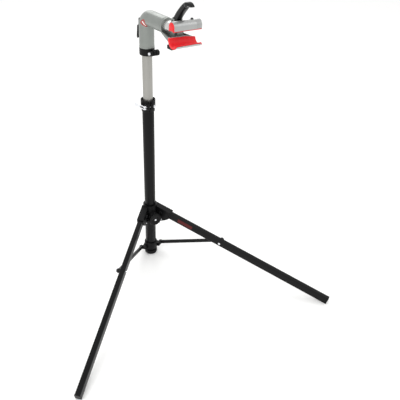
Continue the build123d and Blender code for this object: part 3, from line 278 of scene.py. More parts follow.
# Nitrile rubber from a matt tool: saturated red, no sharp highlight, a faint bloom on its edges.
MOULDED_RUBBER = Finish("moulded_red_rubber", Slot.RED_RUBBER, "#e0121c", "#c90d16", 0.5, 0.06, 1.8, 0.05,
                        cloud_mm=18, specular=0.35, sheen=0.12)
# Nylon from a polished tool: near-black and glossy, with the slow ripple of a thick moulding.
GLOSS_NYLON = Finish("gloss_moulded_nylon", Slot.GLOSS_BLACK, "#050506", "#0a0a0b", 0.2, 0.04, 6.0, 0.05,
                     cloud_mm=30, specular=0.22, coat=0.1, coat_roughness=0.12)
# Nickel and chrome over die-cast zinc: mirror bright with faint buffing haze.
CHROME_PLATE = PlateFinish("chrome_plate", Slot.CHROME, "#e6e7ea", "#d2d4d8", 0.1, 0.03, 4.0, 0.01,
                           cloud_mm=15, metallic=1.0)
# Alloy steel blackened in hot salts: dark oily sheen on small fasteners.
BLACK_OXIDE = Finish("black_oxide_steel", Slot.DARK_STEEL, "#2a2a2c", "#38383a", 0.34, 0.05, 1.2, 0.02,
                     cloud_mm=10, metallic=0.8)
# Printed polyester label: flat dull red film with a slight lift in its gloss.
LABEL_RED = Finish("printed_film_red", Slot.RED_RUBBER, "#a5302c", "#93302c", 0.45, 0.05, 4.0, 0.01,
                   cloud_mm=20)
# The same film with painted shade: its red darkened to stand for the shade on the leg's face.
LABEL_RED_SHADED = Finish("lacquered_film_red", Slot.RED_RUBBER, "#5c1a1a", "#481416", 0.35, 0.05, 4.0, 0.01,
                    cloud_mm=12, specular=0.2)
LABEL_WHITE = Finish("printed_film_white", Slot.CAST_SILVER, "#eeeeec", "#dededc", 0.45, 0.05, 4.0, 0.01,
                     cloud_mm=20)
# Seam filler between the two mouldings of the handle: plain mid grey nylon.
SEAM_GREY = Finish("grey_nylon_seam", Slot.GLOSS_BLACK, "#74787a", "#666a6c", 0.4, 0.05, 2.0, 0.02)
# Rolled vinyl studio floor, off-white, with a barely visible fleck.
STUDIO_FLOOR = Finish("pale_vinyl_floor", Slot.CAST_SILVER, "#fcfcfb", "#fafaf9", 0.7, 0.03, 8.0, 0.02,
                      cloud_mm=400, specular=0.2)


# ---------------------------------------------------------------- shapes

@dataclass(frozen=True)
class Place:
    """A local frame in row coordinates: an origin in metres and three unit directions."""

    origin: tuple[float, float, float]
    across: tuple[float, float, float]
    ahead: tuple[float, float, float]
    up: tuple[float, float, float]

    def put(self, points: np.ndarray) -> np.ndarray:
        """Local millimetres (..., 3) to row metres: origin + x across + y ahead + z up."""
        return points * MM @ np.array([self.across, self.ahead, self.up]) + np.array(self.origin)


def joint(name: str) -> dict:
    """The record's joint of that name."""
    return next(j for j in frame["joints"] if j["name"] == name)


def unit(vector: np.ndarray) -> np.ndarray:
    """The vector at length one."""
    return np.asarray(vector, float) / np.linalg.norm(vector)


def rounded_loop(corners: np.ndarray, reach: float | np.ndarray, steps: int = 6) -> np.ndarray:
    """Round a closed outline.

    Each corner becomes the quadratic curve (1-t)^2 start + 2t(1-t) corner + t^2 end, where start
    and end lie `reach` from the corner on its two sides.

    Args:
        corners: (n, 2) corners in order.
        reach: one distance, or one for each corner.
        steps: points on each curve.

    Returns:
        (n * steps, 2) points.
    """
    corners = np.asarray(corners, float)
    back, on = np.roll(corners, 1, 0) - corners, np.roll(corners, -1, 0) - corners
    back_len, on_len = (np.linalg.norm(v, axis=1, keepdims=True) for v in (back, on))
    limit = 0.49 * np.minimum(back_len, on_len)
    far = np.minimum(np.broadcast_to(np.reshape(reach, (-1, 1)), limit.shape), limit)
    start, end = corners + back / back_len * far, corners + on / on_len * far
    t = np.linspace(0, 1, steps)[None, :, None]
    curve = (1 - t) ** 2 * start[:, None] + 2 * t * (1 - t) * corners[:, None] + t ** 2 * end[:, None]
    return curve.reshape(-1, 2)


def superellipse(half_x: float, half_y: float, power: float, count: int = 40) -> np.ndarray:
    """Closed outline |x/a|^p + |y/b|^p = 1, (count, 2): x = a sgn(cos) |cos|^(2/p), y likewise with sin."""
    angle = np.linspace(0, 2 * math.pi, count, endpoint=False)
    c, s = np.cos(angle), np.sin(angle)
    x, y = (np.sign(v) * abs(v) ** (2 / power) for v in (c, s))
    return np.stack([half_x * x, half_y * y], 1)


def smooth_path(knots: np.ndarray, count: int) -> np.ndarray:
    """Catmull-Rom curve through knots of any dimension.

    Between two knots the point is half of (2p1 + (p2-p0)t + (2p0-5p1+4p2-p3)t^2 + (3p1-p0-3p2+p3)t^3),
    with the end knots mirrored outwards.

    Args:
        knots: (k, d) points in order.
        count: points wanted.

    Returns:
        (count, d) points.
    """
    knots = np.asarray(knots, float)
    padded = np.vstack([2 * knots[0] - knots[1], knots, 2 * knots[-1] - knots[-2]])
    place = np.linspace(0, len(knots) - 1 - 1e-9, count)
    i = place.astype(int)
    t = (place - i)[:, None]
    p0, p1, p2, p3 = (padded[i + k] for k in range(4))
    return 0.5 * (2 * p1 + (p2 - p0) * t + (2 * p0 - 5 * p1 + 4 * p2 - p3) * t ** 2
                  + (3 * p1 - p0 - 3 * p2 + p3) * t ** 3)


def sweep(centres: np.ndarray, outline: np.ndarray, scale: np.ndarray | None = None) -> np.ndarray:
    """Carry an outline along a path that lies in the plane of ahead and up.

    The point is centre + outline x across + outline y times the path's in-plane normal, where the
    normal is the tangent turned a quarter turn.

    Args:
        centres: (m, 2) path in (ahead, up).
        outline: (n, 2) or (m, n, 2) outline in (across, normal).
        scale: (m, 2) factors of the outline at each station.

    Returns:
        (m, n, 3) points in (across, ahead, up).
    """
    tangent = np.gradient(centres, axis=0)
    tangent /= np.linalg.norm(tangent, axis=1, keepdims=True)
    normal = np.stack([-tangent[:, 1], tangent[:, 0]], 1)
    outline = np.broadcast_to(outline, (len(centres), *outline.shape[-2:]))
    if scale is not None:
        outline = outline * scale[:, None, :]
    plane = centres[:, None, :] + outline[..., 1:] * normal[:, None, :]
    return np.concatenate([outline[..., :1], plane], -1)


def turned(loop: np.ndarray, segments: int = 96) -> np.ndarray:
    """Turn an outline of (radius, height) about the z axis: (m, n, 3) points (r cos a, r sin a, h)."""
    angle = np.linspace(0, 2 * math.pi, segments, endpoint=False)
    r, h = loop[:, :1], loop[:, 1:]
    return np.stack([r * np.cos(angle), r * np.sin(angle), np.broadcast_to(h, (len(loop), segments))], -1)


def build(name: str, points: np.ndarray, ring: bool = False, sharp: float = 38.0) -> bpy.types.Object:
    """Make a closed mesh of a grid of points whose columns always wrap round.

    Rows wrap too if `ring` is set. Otherwise each end row is closed by a pole at its mean. Points
    that meet are merged, so poles and seams are closed, and the faces are turned outwards.

    Args:
        name: the piece's name.
        points: (m, n, 3) grid in row metres.
        ring: True if the last row joins the first.
        sharp: edges steeper than this many degrees stay crisp.

    Returns:
        The new object, linked to the scene.
    """
    if not ring:
        ends = [np.broadcast_to(points[i].mean(0), (1, points.shape[1], 3)) for i in (0, -1)]
        points = np.concatenate([ends[0], points, ends[1]])
    rows, cols = points.shape[:2]
    i, j = np.meshgrid(np.arange(rows if ring else rows - 1), np.arange(cols), indexing="ij")
    i2, j2 = (i + 1) % rows, (j + 1) % cols
    quads = np.stack([i * cols + j, i2 * cols + j, i2 * cols + j2, i * cols + j2], -1).reshape(-1, 4)
    mesh = bpy.data.meshes.new(name)
    mesh.from_pydata(points.reshape(-1, 3).tolist(), [], quads.tolist())
    shell = bmesh.new()
    shell.from_mesh(mesh)
    bmesh.ops.remove_doubles(shell, verts=shell.verts, dist=1e-6)
    bmesh.ops.recalc_face_normals(shell, faces=shell.faces)
    return finish_mesh(name, mesh, shell, sharp)


def finish_mesh(name: str, mesh: bpy.types.Mesh, shell: bmesh.types.BMesh, sharp: float) -> bpy.types.Object:
    """Write the shell to the mesh, shade it smooth up to the sharp angle, and link its object."""
    shell.to_mesh(mesh)
    shell.free()
    mesh.polygons.foreach_set("use_smooth", np.ones(len(mesh.polygons), bool))
    mesh.set_sharp_from_angle(angle=math.radians(sharp))
    made = bpy.data.objects.new(name, mesh)
    bpy.context.scene.collection.objects.link(made)
    return made


def dress(piece: bpy.types.Object, finish: Finish, body: str, *nodes: str) -> bpy.types.Object:
    """Give a piece its finish and its body, and the CAD nodes that it stands for."""
    piece.data.materials.clear()
    piece.data.materials.append(finish.material())
    if nodes:
        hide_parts(*nodes)
    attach(piece, body)
    LOG.info("%s on %s: %s, %d faces", piece.name, body, finish.name, len(piece.data.polygons))
    return piece


def soften(node: str, finish: Finish, edge_mm: float = 0.6) -> bpy.types.Object:
    """Stand a copy of a CAD node in for it, with its corners broken as a mould or a tumbler leaves them.

    The copy's loose triangles are merged and flat ones joined, then every edge over 30 degrees
    gets a rounded bevel.

    Args:
        node: the CAD node.
        finish: its finish.
        edge_mm: width of the rounding.

    Returns:
        The dressed copy.
    """
    source = frame["nodes"][node]
    mesh = source.data.copy()
    shell = bmesh.new()
    shell.from_mesh(mesh)
    bmesh.ops.remove_doubles(shell, verts=shell.verts, dist=1e-6)
    bmesh.ops.dissolve_limit(shell, angle_limit=math.radians(0.4), verts=shell.verts, edges=shell.edges)
    piece = finish_mesh(f"{node}_softened", mesh, shell, 40.0)
    bevel = piece.modifiers.new("broken_edges", "BEVEL")
    bevel.width = edge_mm * MM
    bevel.segments = 2
    bevel.limit_method = "ANGLE"
    bevel.angle_limit = math.radians(30)
    bevel.harden_normals = True
    return dress(piece, finish, source["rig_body"], node)


def coat_node(node: str, finish: Finish) -> None:
    """Give a CAD node that stays as it is its finish."""
    data = frame["nodes"][node].data
    data.materials.clear()
    data.materials.append(finish.material())
    LOG.info("%s kept: %s", node, finish.name)


# ---------------------------------------------------------------- places

UPRIGHT = Place((0, 0, 0), (1, 0, 0), (0, -1, 0), (0, 0, 1))


def clamp_place() -> Place:
    """The clamp's frame: mast axis at the barrel's height, turned with the head and the clamp's roll."""
    ahead = unit(joint("clamp_turn")["axis"])
    up = unit(joint("jaw_slide")["axis"])
    height = joint("clamp_turn")["pos_m"][2]
    return Place((0, 0, height), tuple(np.cross(up, ahead)), tuple(ahead), tuple(up))


def head_place() -> Place:
    """The head's frame: mast axis at the barrel's height, x across the barrel."""
    ahead = unit(joint("clamp_turn")["axis"])
    height = joint("clamp_turn")["pos_m"][2]
    return Place((0, 0, height), tuple(np.cross((0, 0, 1), ahead)), tuple(ahead), (0, 0, 1))


# ---------------------------------------------------------------- sub-assemblies

@dataclass
class Mast:
    """Fixed lower tube with its foot, the struts' collar and the height collar."""

    radius: float = 22.5
    wall: float = 2.0
    low: float = 5.0
    high: float = 706.0
    edge: float = 0.4

    def tube(self) -> None:
        """A round tube: its wall's outline, slightly rounded, turned about the mast's axis."""
        inner = self.radius - self.wall
        corners = [(inner, self.low), (self.radius, self.low), (self.radius, self.high), (inner, self.high)]
        points = turned(rounded_loop(corners, self.edge, 3), 128)
        dress(build("mast_tube", UPRIGHT.put(points), ring=True), SATIN_POWDER, "mast", "outer_tube")

    def fittings(self) -> None:
        """Mouldings and fasteners clamped to the tube."""
        soften("mast_foot", ERODED_NYLON, 0.8)
        soften("strut_collar", ERODED_NYLON, 0.8)
        soften("strut_pivot_bolts", BLACK_OXIDE, 0.3)
        soften("height_collar", ERODED_NYLON, 0.8)
        soften("height_skewer", CHROME_PLATE, 0.3)
        soften("height_nut", CHROME_PLATE, 0.5)
        soften("height_lever", CHROME_PLATE, 0.9)
        coat_node("guide_bush", ERODED_NYLON)

    def build(self) -> None:
        """Make every piece of the mast."""
        self.tube()
        self.fittings()


@dataclass
class InnerMast:
    """Sliding silver tube with faint rings where the head's collar has been clamped."""

    radius: float = 18.5
    wall: float = 2.0
    low: float = 215.0
    high: float = 972.0
    rings: tuple[float, ...] = (858.0, 866.0, 874.0)
    ring_width: float = 1.2
    ring_depth: float = 0.12

    def tube(self) -> None:
        """A round tube: outer radius less a bell curve, depth exp(-((z - ring)/width)^2), at each ring."""
        inner = self.radius - self.wall
        stations = [np.linspace(z - 3 * self.ring_width, z + 3 * self.ring_width, 15) for z in self.rings]
        z = np.unique(np.concatenate([[self.low, self.high], *stations]))
        marks = np.exp(-((z[:, None] - np.array(self.rings)) / self.ring_width) ** 2).sum(1)
        outer = np.stack([self.radius - self.ring_depth * marks, z], 1)
        loop = np.vstack([outer, [(inner, self.high), (inner, self.low)]])
        dress(build("sliding_tube", UPRIGHT.put(turned(loop, 128)), ring=True), DRAWN_TUBE,
              "inner_mast", "inner_tube")

    def build(self) -> None:
        """Make the tube and finish the plug inside it."""
        self.tube()
        coat_node("inner_plug", ERODED_NYLON)


@dataclass
class Head:
    """Cast elbow with its swivel collar, knob and lock lever."""

    radius: float = 26.5
    bore: float = 18.8
    barrel_bore: float = 20.5
    low: float = -104.0
    bend: float = 30.0
    end: float = 123.0
    rim: float = 0.7
    place: Place = field(default_factory=head_place)

    def axis(self, count: int) -> np.ndarray:
        """Points of the elbow's axis in (ahead, up): straight up, a quarter circle, straight ahead."""
        up = np.stack([np.zeros(count), np.linspace(self.low, -self.bend, count)], 1)
        a = np.linspace(0, math.pi / 2, count)[1:-1]
        arc = self.bend * np.stack([1 - np.cos(a), np.sin(a) - 1], 1)
        ahead = np.stack([np.linspace(self.bend, self.end, count), np.zeros(count)], 1)
        return np.vstack([up, arc, ahead])

    def elbow(self) -> None:
        """The casting's skin: circles round the axis outwards, then back along the bore."""
        centres = self.axis(28)
        distance = np.concatenate([[0], np.cumsum(np.linalg.norm(np.diff(centres, axis=0), axis=1))])
        left = distance[-1] - distance
        bead = self.rim * np.exp(-((distance - 4.5) / 2.6) ** 4)
        groove = 0.9 * np.exp(-((left - 5.0) / 1.0) ** 2)
        ease = 1.4 * np.exp(-distance / 0.8) + 1.4 * np.exp(-left / 0.8)
        outer = self.radius + bead - groove - ease
        inner = np.interp(distance, [0, distance[-1]], [self.bore, self.barrel_bore])
        circle = superellipse(1, 1, 2, 96)
        skin = sweep(centres, circle, np.stack([outer, outer], 1))
        bore = sweep(centres, circle, np.stack([inner, inner], 1))[::-1]
        points = self.place.put(np.concatenate([skin, bore]))
        dress(build("head_elbow", points, ring=True), SILVER_CASTING, "head", "head_casting")

    def boss(self) -> None:
        """Round boss behind the elbow that the lock rod leaves through: a turned outline along -ahead."""
        loop = np.array([(3.4, 0.0), (8.0, 0.0), (8.0, 9.0), (7.4, 9.6), (3.4, 9.6)])
        x, y, h = np.moveaxis(turned(loop, 48), -1, 0)
        points = np.stack([x, -19.2 - h, y - 16.0], -1)
        dress(build("lock_boss", self.place.put(points), ring=True), SILVER_CASTING, "head")

    def label(self) -> None:
        """Plain red field with one white bar, bent round the elbow's left flank."""
        for name, finish, turn, along, lift in (
            ("head_label", LABEL_RED, (178, 238), (88, 122), 0.5),
            ("head_label_bar", LABEL_WHITE, (188, 228), (101, 109), 0.8),
        ):
            self.patch(name, finish, turn, along, lift)

    def patch(self, name: str, finish: Finish, turn: tuple[float, float], along: tuple[float, float],
              lift: float) -> None:
        """A thin plate on the elbow's skin.

        The plate's outline is a rounded rectangle in (turn round the axis, distance along it), and
        its rows shrink that outline to its middle, with the lower layer sunk under the skin.

        Args:
            name: the piece's name.
            finish: its finish.
            turn: start and end angle round the axis, in degrees.
            along: start and end distance along the axis, in millimetres.
            lift: height over the skin.
        """
        half = np.array([(turn[1] - turn[0]) / 2, (along[1] - along[0]) / 2])
        middle = np.array([sum(turn) / 2, sum(along) / 2])
        loop = superellipse(1.0, 1.0, 8.0, 160)
        levels = np.array([(0.0, -0.6), (0.5, -0.6), (1.0, -0.6), (1.0, 0.0), (0.97, lift), (0.75, lift),
                           (0.5, lift), (0.25, lift)])
        spots = middle + half * loop[None] * levels[:, None, :1]
        axis = self.axis(60)
        distance = np.concatenate([[0], np.cumsum(np.linalg.norm(np.diff(axis, axis=0), axis=1))])
        s, z = (np.interp(spots[..., 1], distance, axis[:, k]) for k in (0, 1))
        tangent = np.gradient(axis, axis=0)
        heading = np.arctan2(np.interp(spots[..., 1], distance, tangent[:, 1]),
                             np.interp(spots[..., 1], distance, tangent[:, 0]))
        radius = self.radius + levels[:, None, 1]
        angle = np.radians(spots[..., 0])
        out = radius * np.sin(angle)
        points = np.stack([radius * np.cos(angle), s - out * np.sin(heading), z + out * np.cos(heading)], -1)
        dress(build(name, self.place.put(points)), finish, "head")

    def fittings(self) -> None:
        """Swivel collar, its screw and knob, and the lock lever."""
        soften("swivel_collar", ERODED_NYLON, 0.8)
        soften("swivel_screw", CHROME_PLATE, 0.4)
        soften("swivel_knob", ERODED_NYLON, 0.7)
        soften("lock_lever", ERODED_NYLON, 0.8)
        soften("lock_rod", BLACK_OXIDE, 0.2)
        soften("lock_pin", BLACK_OXIDE, 0.2)
        coat_node("barrel_bush", NATURAL_NYLON)
        coat_node("lock_shoe", ERODED_NYLON)

    def build(self) -> None:
        """Make every piece of the head."""
        self.elbow()
        self.boss()
        self.label()
        self.fittings()


@dataclass
class Clamp:
    """Turned neck, flared arm and the fixed lower jaw."""

    neck: float = 19.0
    neck_start: float = 127.2
    neck_end: float = 166.4
    jaw_ahead: float = 228.5
    jaw_up: float = -17.0
    corner_from: float = 13.4
    corner_turn: float = 16.0
    half: float = 48.0
    groove: float = 17.0
    pad: float = 5.0
    shell: float = 3.0
    pad_end: float = 2.5
    arc: tuple[float, float] = (-142.0, 12.0)
    place: Place = field(default_factory=clamp_place)

    def bend(self, loop: np.ndarray, start: float, end: float, ease: float = 0.8) -> np.ndarray:
        """Carry an outline of (across, radius) round the groove's axis.

        At angle a, counted from the back, the point is (x, centre - r cos a, centre + r sin a). The
        two end rows shrink towards the outline's middle so that the ends are rounded. Right of
        `corner_from` the last angle falls in proportion to x, which slants the back wall's corner.

        Args:
            loop: (n, 2) outline.
            start: first angle in degrees.
            end: last angle in degrees.
            ease: rounding of the ends, in millimetres.

        Returns:
            (m, n, 3) points in row metres.
        """
        step = math.degrees(ease / (self.groove + self.pad))
        a = np.radians(np.concatenate([[start, start + 0.3 * step], np.linspace(start + step, end - step, 60),
                                       [end - 0.3 * step, end]]))
        middle = np.array([0.0, (loop[:, 1].min() + loop[:, 1].max()) / 2])
        offset = loop - middle
        size = np.abs(offset).max(0)
        shrink = np.ones((len(a), 1, 1)) * np.ones(2)
        shrink[[0, -1]] = 1 - ease / size
        shrink[[1, -2]] = 1 - 0.3 * ease / size
        rows = middle + offset * shrink
        x, r = rows[..., 0], rows[..., 1]
        reach = self.half + self.pad_end
        past = (x - self.corner_from) / (reach - self.corner_from)
        fall = math.radians(self.corner_turn) * np.clip(past, 0, 1)
        a = a[:, None] - fall * (a[:, None] - a[0]) / (a[-1] - a[0])
        points = np.stack([x, self.jaw_ahead - r * np.cos(a), self.jaw_up + r * np.sin(a)], -1)
        return self.place.put(points)

    def lower_shell(self) -> None:
        """Extruded lower jaw: a thin rounded bar of a section, bent round the groove."""
        r0, r1 = self.groove + self.pad, self.groove + self.pad + self.shell
        x = np.linspace(-self.half, self.half, 30)
        outer = np.stack([x, np.full_like(x, r1)], 1)
        inner = np.stack([x[::-1], np.full_like(x, r0)], 1)
        points = self.bend(np.vstack([outer, inner]), *self.arc)
        dress(build("lower_jaw_shell", points), self.extrusion(), "clamp", "lower_jaw")

    def lower_lining(self) -> None:
        """Rubber lining: its outline has a flared rim at each end and a slight crown between them."""
        end, r0, r1 = self.half + self.pad_end, self.groove, self.groove + self.pad
        rim = r1 + self.shell
        side = [(-end, rim), (-end, r0 + 0.8), (-end + 1.2, r0)]
        x = np.linspace(-end + 4, end - 4, 24)
        crown = np.stack([x, r0 + 0.25 * np.cos(x / end * math.pi / 2)], 1)
        other = [(end - 1.2, r0), (end, r0 + 0.8), (end, rim), (end - self.pad_end, rim),
                 (end - self.pad_end, r1 - 0.02), (-end + self.pad_end, r1 - 0.02),
                 (-end + self.pad_end, rim)]
        loop = rounded_loop(np.vstack([side, crown, other]), 0.5, 3)
        lining = build("lower_jaw_lining", self.bend(loop, *self.arc, 1.2))
        piece = dress(lining, MOULDED_RUBBER, "clamp", "lower_pad")

    def extrusion(self) -> Finish:
        """The jaw extrusion's finish with its die lines along the jaws."""
        return replace(JAW_EXTRUSION, along=self.place.across)

    def turned_neck(self) -> None:
        """Bright spigot between the barrel and the column: two lands with a groove between."""
        r, s0, s1 = self.neck + 0.35, self.neck_start, self.neck_end
        loop = np.array([(r - 3, s0), (r - 0.5, s0), (r, s0 + 0.8), (r, s0 + 9), (r - 1.1, s0 + 9.6),
                         (r - 1.1, s0 + 11.4), (r, s0 + 12), (r, s1 - 0.6), (r - 0.6, s1), (r - 3, s1)])
        x, z, s = np.moveaxis(turned(loop, 96), -1, 0)
        finish = replace(TURNED_SPIGOT, along=self.place.ahead)
        dress(build("turned_neck", self.place.put(np.stack([x, s, z], -1)), ring=True), finish, "clamp")

    def build(self) -> None:
        """Make every piece of the fixed half of the clamp."""
        self.turned_neck()
        self.lower_shell()
        self.lower_lining()
        soften("clamp_body", SILVER_CASTING, 0.7)
        soften("jaw_tail", ERODED_NYLON, 0.9)
        soften("cam_pin", BLACK_OXIDE, 0.3)
        coat_node("clamp_shaft", TURNED_SPIGOT)
        coat_node("shaft_ring", BLACK_OXIDE)


@dataclass
class UpperJaw:
    """Sliding jaw: an arched shell with a handle recess and ribs, over a rubber block."""

    ahead: float = 228.5
    up: float = 26.0
    middle: float = -3.0
    radius: float = 16.0
    shell: float = 3.0
    skirt: float = 11.0
    half: float = 52.0
    pad_end: float = 1.0
    pad_drop: float = 3.0
    dish: float = 3.0
    dish_radius: float = 30.0
    recess_half: float = 16.0
    recess_floor: float = 10.5
    rib_from: float = 30.0
    rib_pitch: float = 4.6
    rib_count: int = 4
    rib_depth: float = 1.0
    place: Place = field(default_factory=clamp_place)

    def seat(self, points: np.ndarray) -> np.ndarray:
        """Points (x from the jaw's middle, ahead of its centre, over it) to row metres."""
        return self.place.put(points + np.array([self.middle, self.ahead, self.up]))

    def arched_shell(self) -> None:
        """Arch extruded across: rows of one outline, sunk to the recess floor and grooved between ribs.

        The outline is a half circle on two straight skirts, outside and then inside. The recess is
        centred on the clamp, which lies `middle` to the side of the jaw's own middle. Within it, a
        point behind the centre has its height cut to the floor.
        Past `rib_from` the outer radius loses depth times a raised cosine of x.
        """
        stops = [-self.half, -self.half + 0.3, self.half - 0.3, self.half]
        edges = [s * (self.recess_half + d) - self.middle for s in (-1, 1) for d in (-0.3, 0.3)]
        x = np.unique(np.concatenate([stops, edges, np.linspace(-self.half + 1, self.half - 1, 97)]))
        a = np.linspace(0, math.pi, 49)
        lip = 0.6
        outer = np.vstack([[(self.radius - lip, -self.skirt), (self.radius, -self.skirt + lip)],
                           self.radius * np.stack([np.cos(a), np.sin(a)], 1),
                           [(-self.radius, -self.skirt + lip), (-self.radius + lip, -self.skirt)]])
        r = self.radius - self.shell
        inner = np.vstack([[(-r, -self.skirt)], r * np.stack([np.cos(a[::-1]), np.sin(a[::-1])], 1),
                           [(r, -self.skirt)]])
        rows = np.broadcast_to(np.vstack([outer, inner]), (len(x), len(outer) + len(inner), 2)).copy()
        wave = (x - self.rib_from) / self.rib_pitch
        ribbed = (wave > 0) & (wave < self.rib_count)
        cut = np.where(ribbed, self.rib_depth * 0.5 * (1 - np.cos(2 * math.pi * wave)), 0)
        cut += np.interp(self.half - abs(x), [0, 0.3], [0.4, 0])
        rows[:, :len(outer)] *= (1 - cut / self.radius)[:, None, None]
        recess = (abs(x + self.middle)[:, None] < self.recess_half) & (rows[..., 0] < -1.0)
        floor = np.where(np.arange(rows.shape[1]) < len(outer), self.recess_floor, self.recess_floor - 0.3)
        rows[..., 1] = np.where(recess, np.minimum(rows[..., 1], floor), rows[..., 1])
        points = np.concatenate([np.broadcast_to(x[:, None, None], (*rows.shape[:2], 1)), rows], -1)
        finish = replace(JAW_EXTRUSION, along=self.place.across)
        dress(build("upper_jaw_shell", self.seat(points), sharp=30), finish, "upper_jaw_body", "upper_jaw")

    def block(self) -> None:
        """Rubber block: a D outline with a hollow underside, swollen to a rim at each end.

        The underside is low + sqrt(R^2 - s^2) - R + dish. The outline's width and height are
        scaled at each station, from the core's size to the rim's.
        """
        core = self.radius - self.shell - 0.03
        low = -self.skirt - self.pad_drop
        a = np.linspace(0, math.pi, 33)
        top = core * np.stack([np.cos(a), np.sin(a)], 1)
        s = np.linspace(-core, core, 17)
        under = np.stack([s, low + np.sqrt(self.dish_radius ** 2 - s ** 2) - self.dish_radius + self.dish], 1)
        loop = np.vstack([top, under])
        end, rim = self.half + self.pad_end, (self.radius - 1.5) / core
        edges = [s * v - self.middle for s in (-1, 1)
                 for v in (5, self.recess_half + 0.4, self.recess_half + 0.6)]
        x = np.sort([-end, -end + 0.3, -end + 0.8, -self.half - 0.1, -self.half, *edges,
                     self.half, self.half + 0.1, end - 0.8, end - 0.3, end])
        ease = np.interp(end - abs(x), [0, 0.3, 0.8], [0.09, 0.04, 0])
        grow = np.where(abs(x) > self.half, rim, 1.0) - ease
        rows = loop * np.stack([grow, np.minimum(grow, 1.06)], 1)[:, None]
        rows[..., 1] = np.maximum(rows[..., 1], low)
        recess = (abs(x + self.middle)[:, None] < self.recess_half + 0.5) & (rows[..., 0] < -0.5)
        rows[..., 1] = np.where(recess, np.minimum(rows[..., 1], self.recess_floor - 0.5), rows[..., 1])
        points = np.concatenate([np.broadcast_to(x[:, None, None], (*rows.shape[:2], 1)), rows], -1)
        block = build("upper_jaw_block", self.seat(points))
        piece = dress(block, MOULDED_RUBBER, "upper_jaw_body", "upper_pad")

    def build(self) -> None:
        """Make every piece of the sliding jaw."""
        self.arched_shell()
        self.block()
        soften("jaw_carriage", SILVER_CASTING, 0.6)
        soften("jaw_adjuster", BLACK_OXIDE, 0.4)


@dataclass
class Handle:
    """Cam handle: a round cam with a grip that rises forward to a hooked tip."""

    cam: float = 12.0
    half: float = 11.5
    bore: float = 4.05
    squareness: float = 3.4
    seam_at: float = 0.6
    knots: tuple[tuple[float, float, float], ...] = (
        (0, 3, 10.2), (7, 12, 10.4), (16, 24, 10.2), (29, 38.5, 9.6), (43, 52, 9.0), (53.5, 59.6, 7.6),
        (62, 61.8, 6.0), (70.5, 60.4, 3.9), (78, 56.8, 1.2),
    )
    place: Place = field(init=False)

    def __post_init__(self) -> None:
        """Set the frame at the handle's own hinge."""
        clamp = clamp_place()
        self.place = Place(tuple(joint("handle_turn")["pos_m"]), clamp.across, clamp.ahead, clamp.up)

    def path(self, count: int) -> np.ndarray:
        """Centre line and half thickness, (count, 3), through the knots."""
        return smooth_path(np.array(self.knots), count)

    def grip(self) -> None:
        """Soft-cornered outline carried along the path: half thickness and width ease to the tip."""
        line = self.path(90)
        t = np.linspace(0, 1, len(line))
        width = self.half * (1 - 0.30 * np.clip((t - 0.62) / 0.38, 0, 1) ** 2) / self.half
        outline = superellipse(self.half, 1.0, self.squareness, 48)
        points = sweep(line[:, :2], outline, np.stack([width, line[:, 2]], 1))
        grip = build("handle_grip", self.place.put(points))
        dress(grip, GLOSS_NYLON, "handle_body", "cam_handle", "handle_tip")

    def disc(self) -> None:
        """Round cam about the hinge, its rims rounded: an outline of (radius, across) turned."""
        loop = rounded_loop([(self.bore, -self.half), (self.cam, -self.half), (self.cam, self.half),
                             (self.bore, self.half)], [0.2, 1.2, 1.2, 0.2], 6)
        a, b, x = np.moveaxis(turned(loop, 72), -1, 0)
        cam = build("handle_cam", self.place.put(np.stack([x, a, b], -1)), ring=True)
        dress(cam, GLOSS_NYLON, "handle_body")

    def seam(self) -> None:
        """Thin grey band round the grip where the tip's moulding starts."""
        line = self.path(400)
        middle = int(self.seam_at * len(line))
        band = line[middle - 3:middle + 4]
        grow = np.array([0.9, 1.02, 1.035, 1.035, 1.035, 1.02, 0.9])
        outline = superellipse(self.half, 1.0, self.squareness, 48)
        points = sweep(band[:, :2], outline, np.stack([grow, grow * band[:, 2]], 1))
        dress(build("handle_seam", self.place.put(points)), SEAM_GREY, "handle_body")

    def build(self) -> None:
        """Make every piece of the handle."""
        self.grip()
        self.disc()
        self.seam()


@dataclass
class Hub:
    """Sliding hub with its two leg sockets and the round hand knob."""

    knob: float = 27.0
    depth: float = 13.0
    start: float = 0.3
    lobes: int = 12
    lobe_depth: float = 1.9
    place: Place = field(init=False)

    def __post_init__(self) -> None:
        """Set the frame at the knob's hinge."""
        self.place = Place(tuple(joint("hub_knob_turn")["pos_m"]), (1, 0, 0), (0, -1, 0), (0, 0, 1))

    def hand_knob(self) -> None:
        """Lobed knob: radius r (1 - depth/R w (1 - |sin(n a / 2)|)) where w fades from rim to face."""
        s0, s1 = self.start, self.start + self.depth
        profile = np.array([(4.0, s0), (20.0, s0), (25.5, s0 + 0.6), (27.0, s0 + 2.2), (27.0, s0 + 9.0),
                            (26.2, s0 + 11.2), (24.0, s0 + 12.6), (21.0, s1), (17.5, s1), (16.0, s1 - 0.5),
                            (15.0, s1 - 2.0), (14.0, s1 - 2.8), (4.0, s1 - 3.0)])
        rows = turned(profile, 240)
        a = np.linspace(0, 2 * math.pi, 240, endpoint=False)
        edge = 1 - abs(np.sin(self.lobes * a / 2)) ** 0.8
        weight = np.clip((profile[:, 0] - 19.0) / 6.0, 0, 1)[:, None]
        factor = 1 - self.lobe_depth / self.knob * weight * edge
        x, z, s = np.moveaxis(rows, -1, 0)
        points = np.stack([x * factor, s, z * factor], -1)
        knob = build("hand_knob", self.place.put(points), ring=True, sharp=50)
        dress(knob, ERODED_NYLON, "hub_knob_body", "hub_knob")

    def build(self) -> None:
        """Make every piece of the hub."""
        self.hand_knob()
        soften("hub_casting", ERODED_NYLON, 0.9)
        soften("knob_stud", CHROME_PLATE, 0.4)
        soften("leg_pivot_bolts", BLACK_OXIDE, 0.3)
        soften("leg_pivot_nuts", BLACK_OXIDE, 0.3)
        soften("hub_screws", CHROME_PLATE, 0.2)
        coat_node("hub_bush", NATURAL_NYLON)


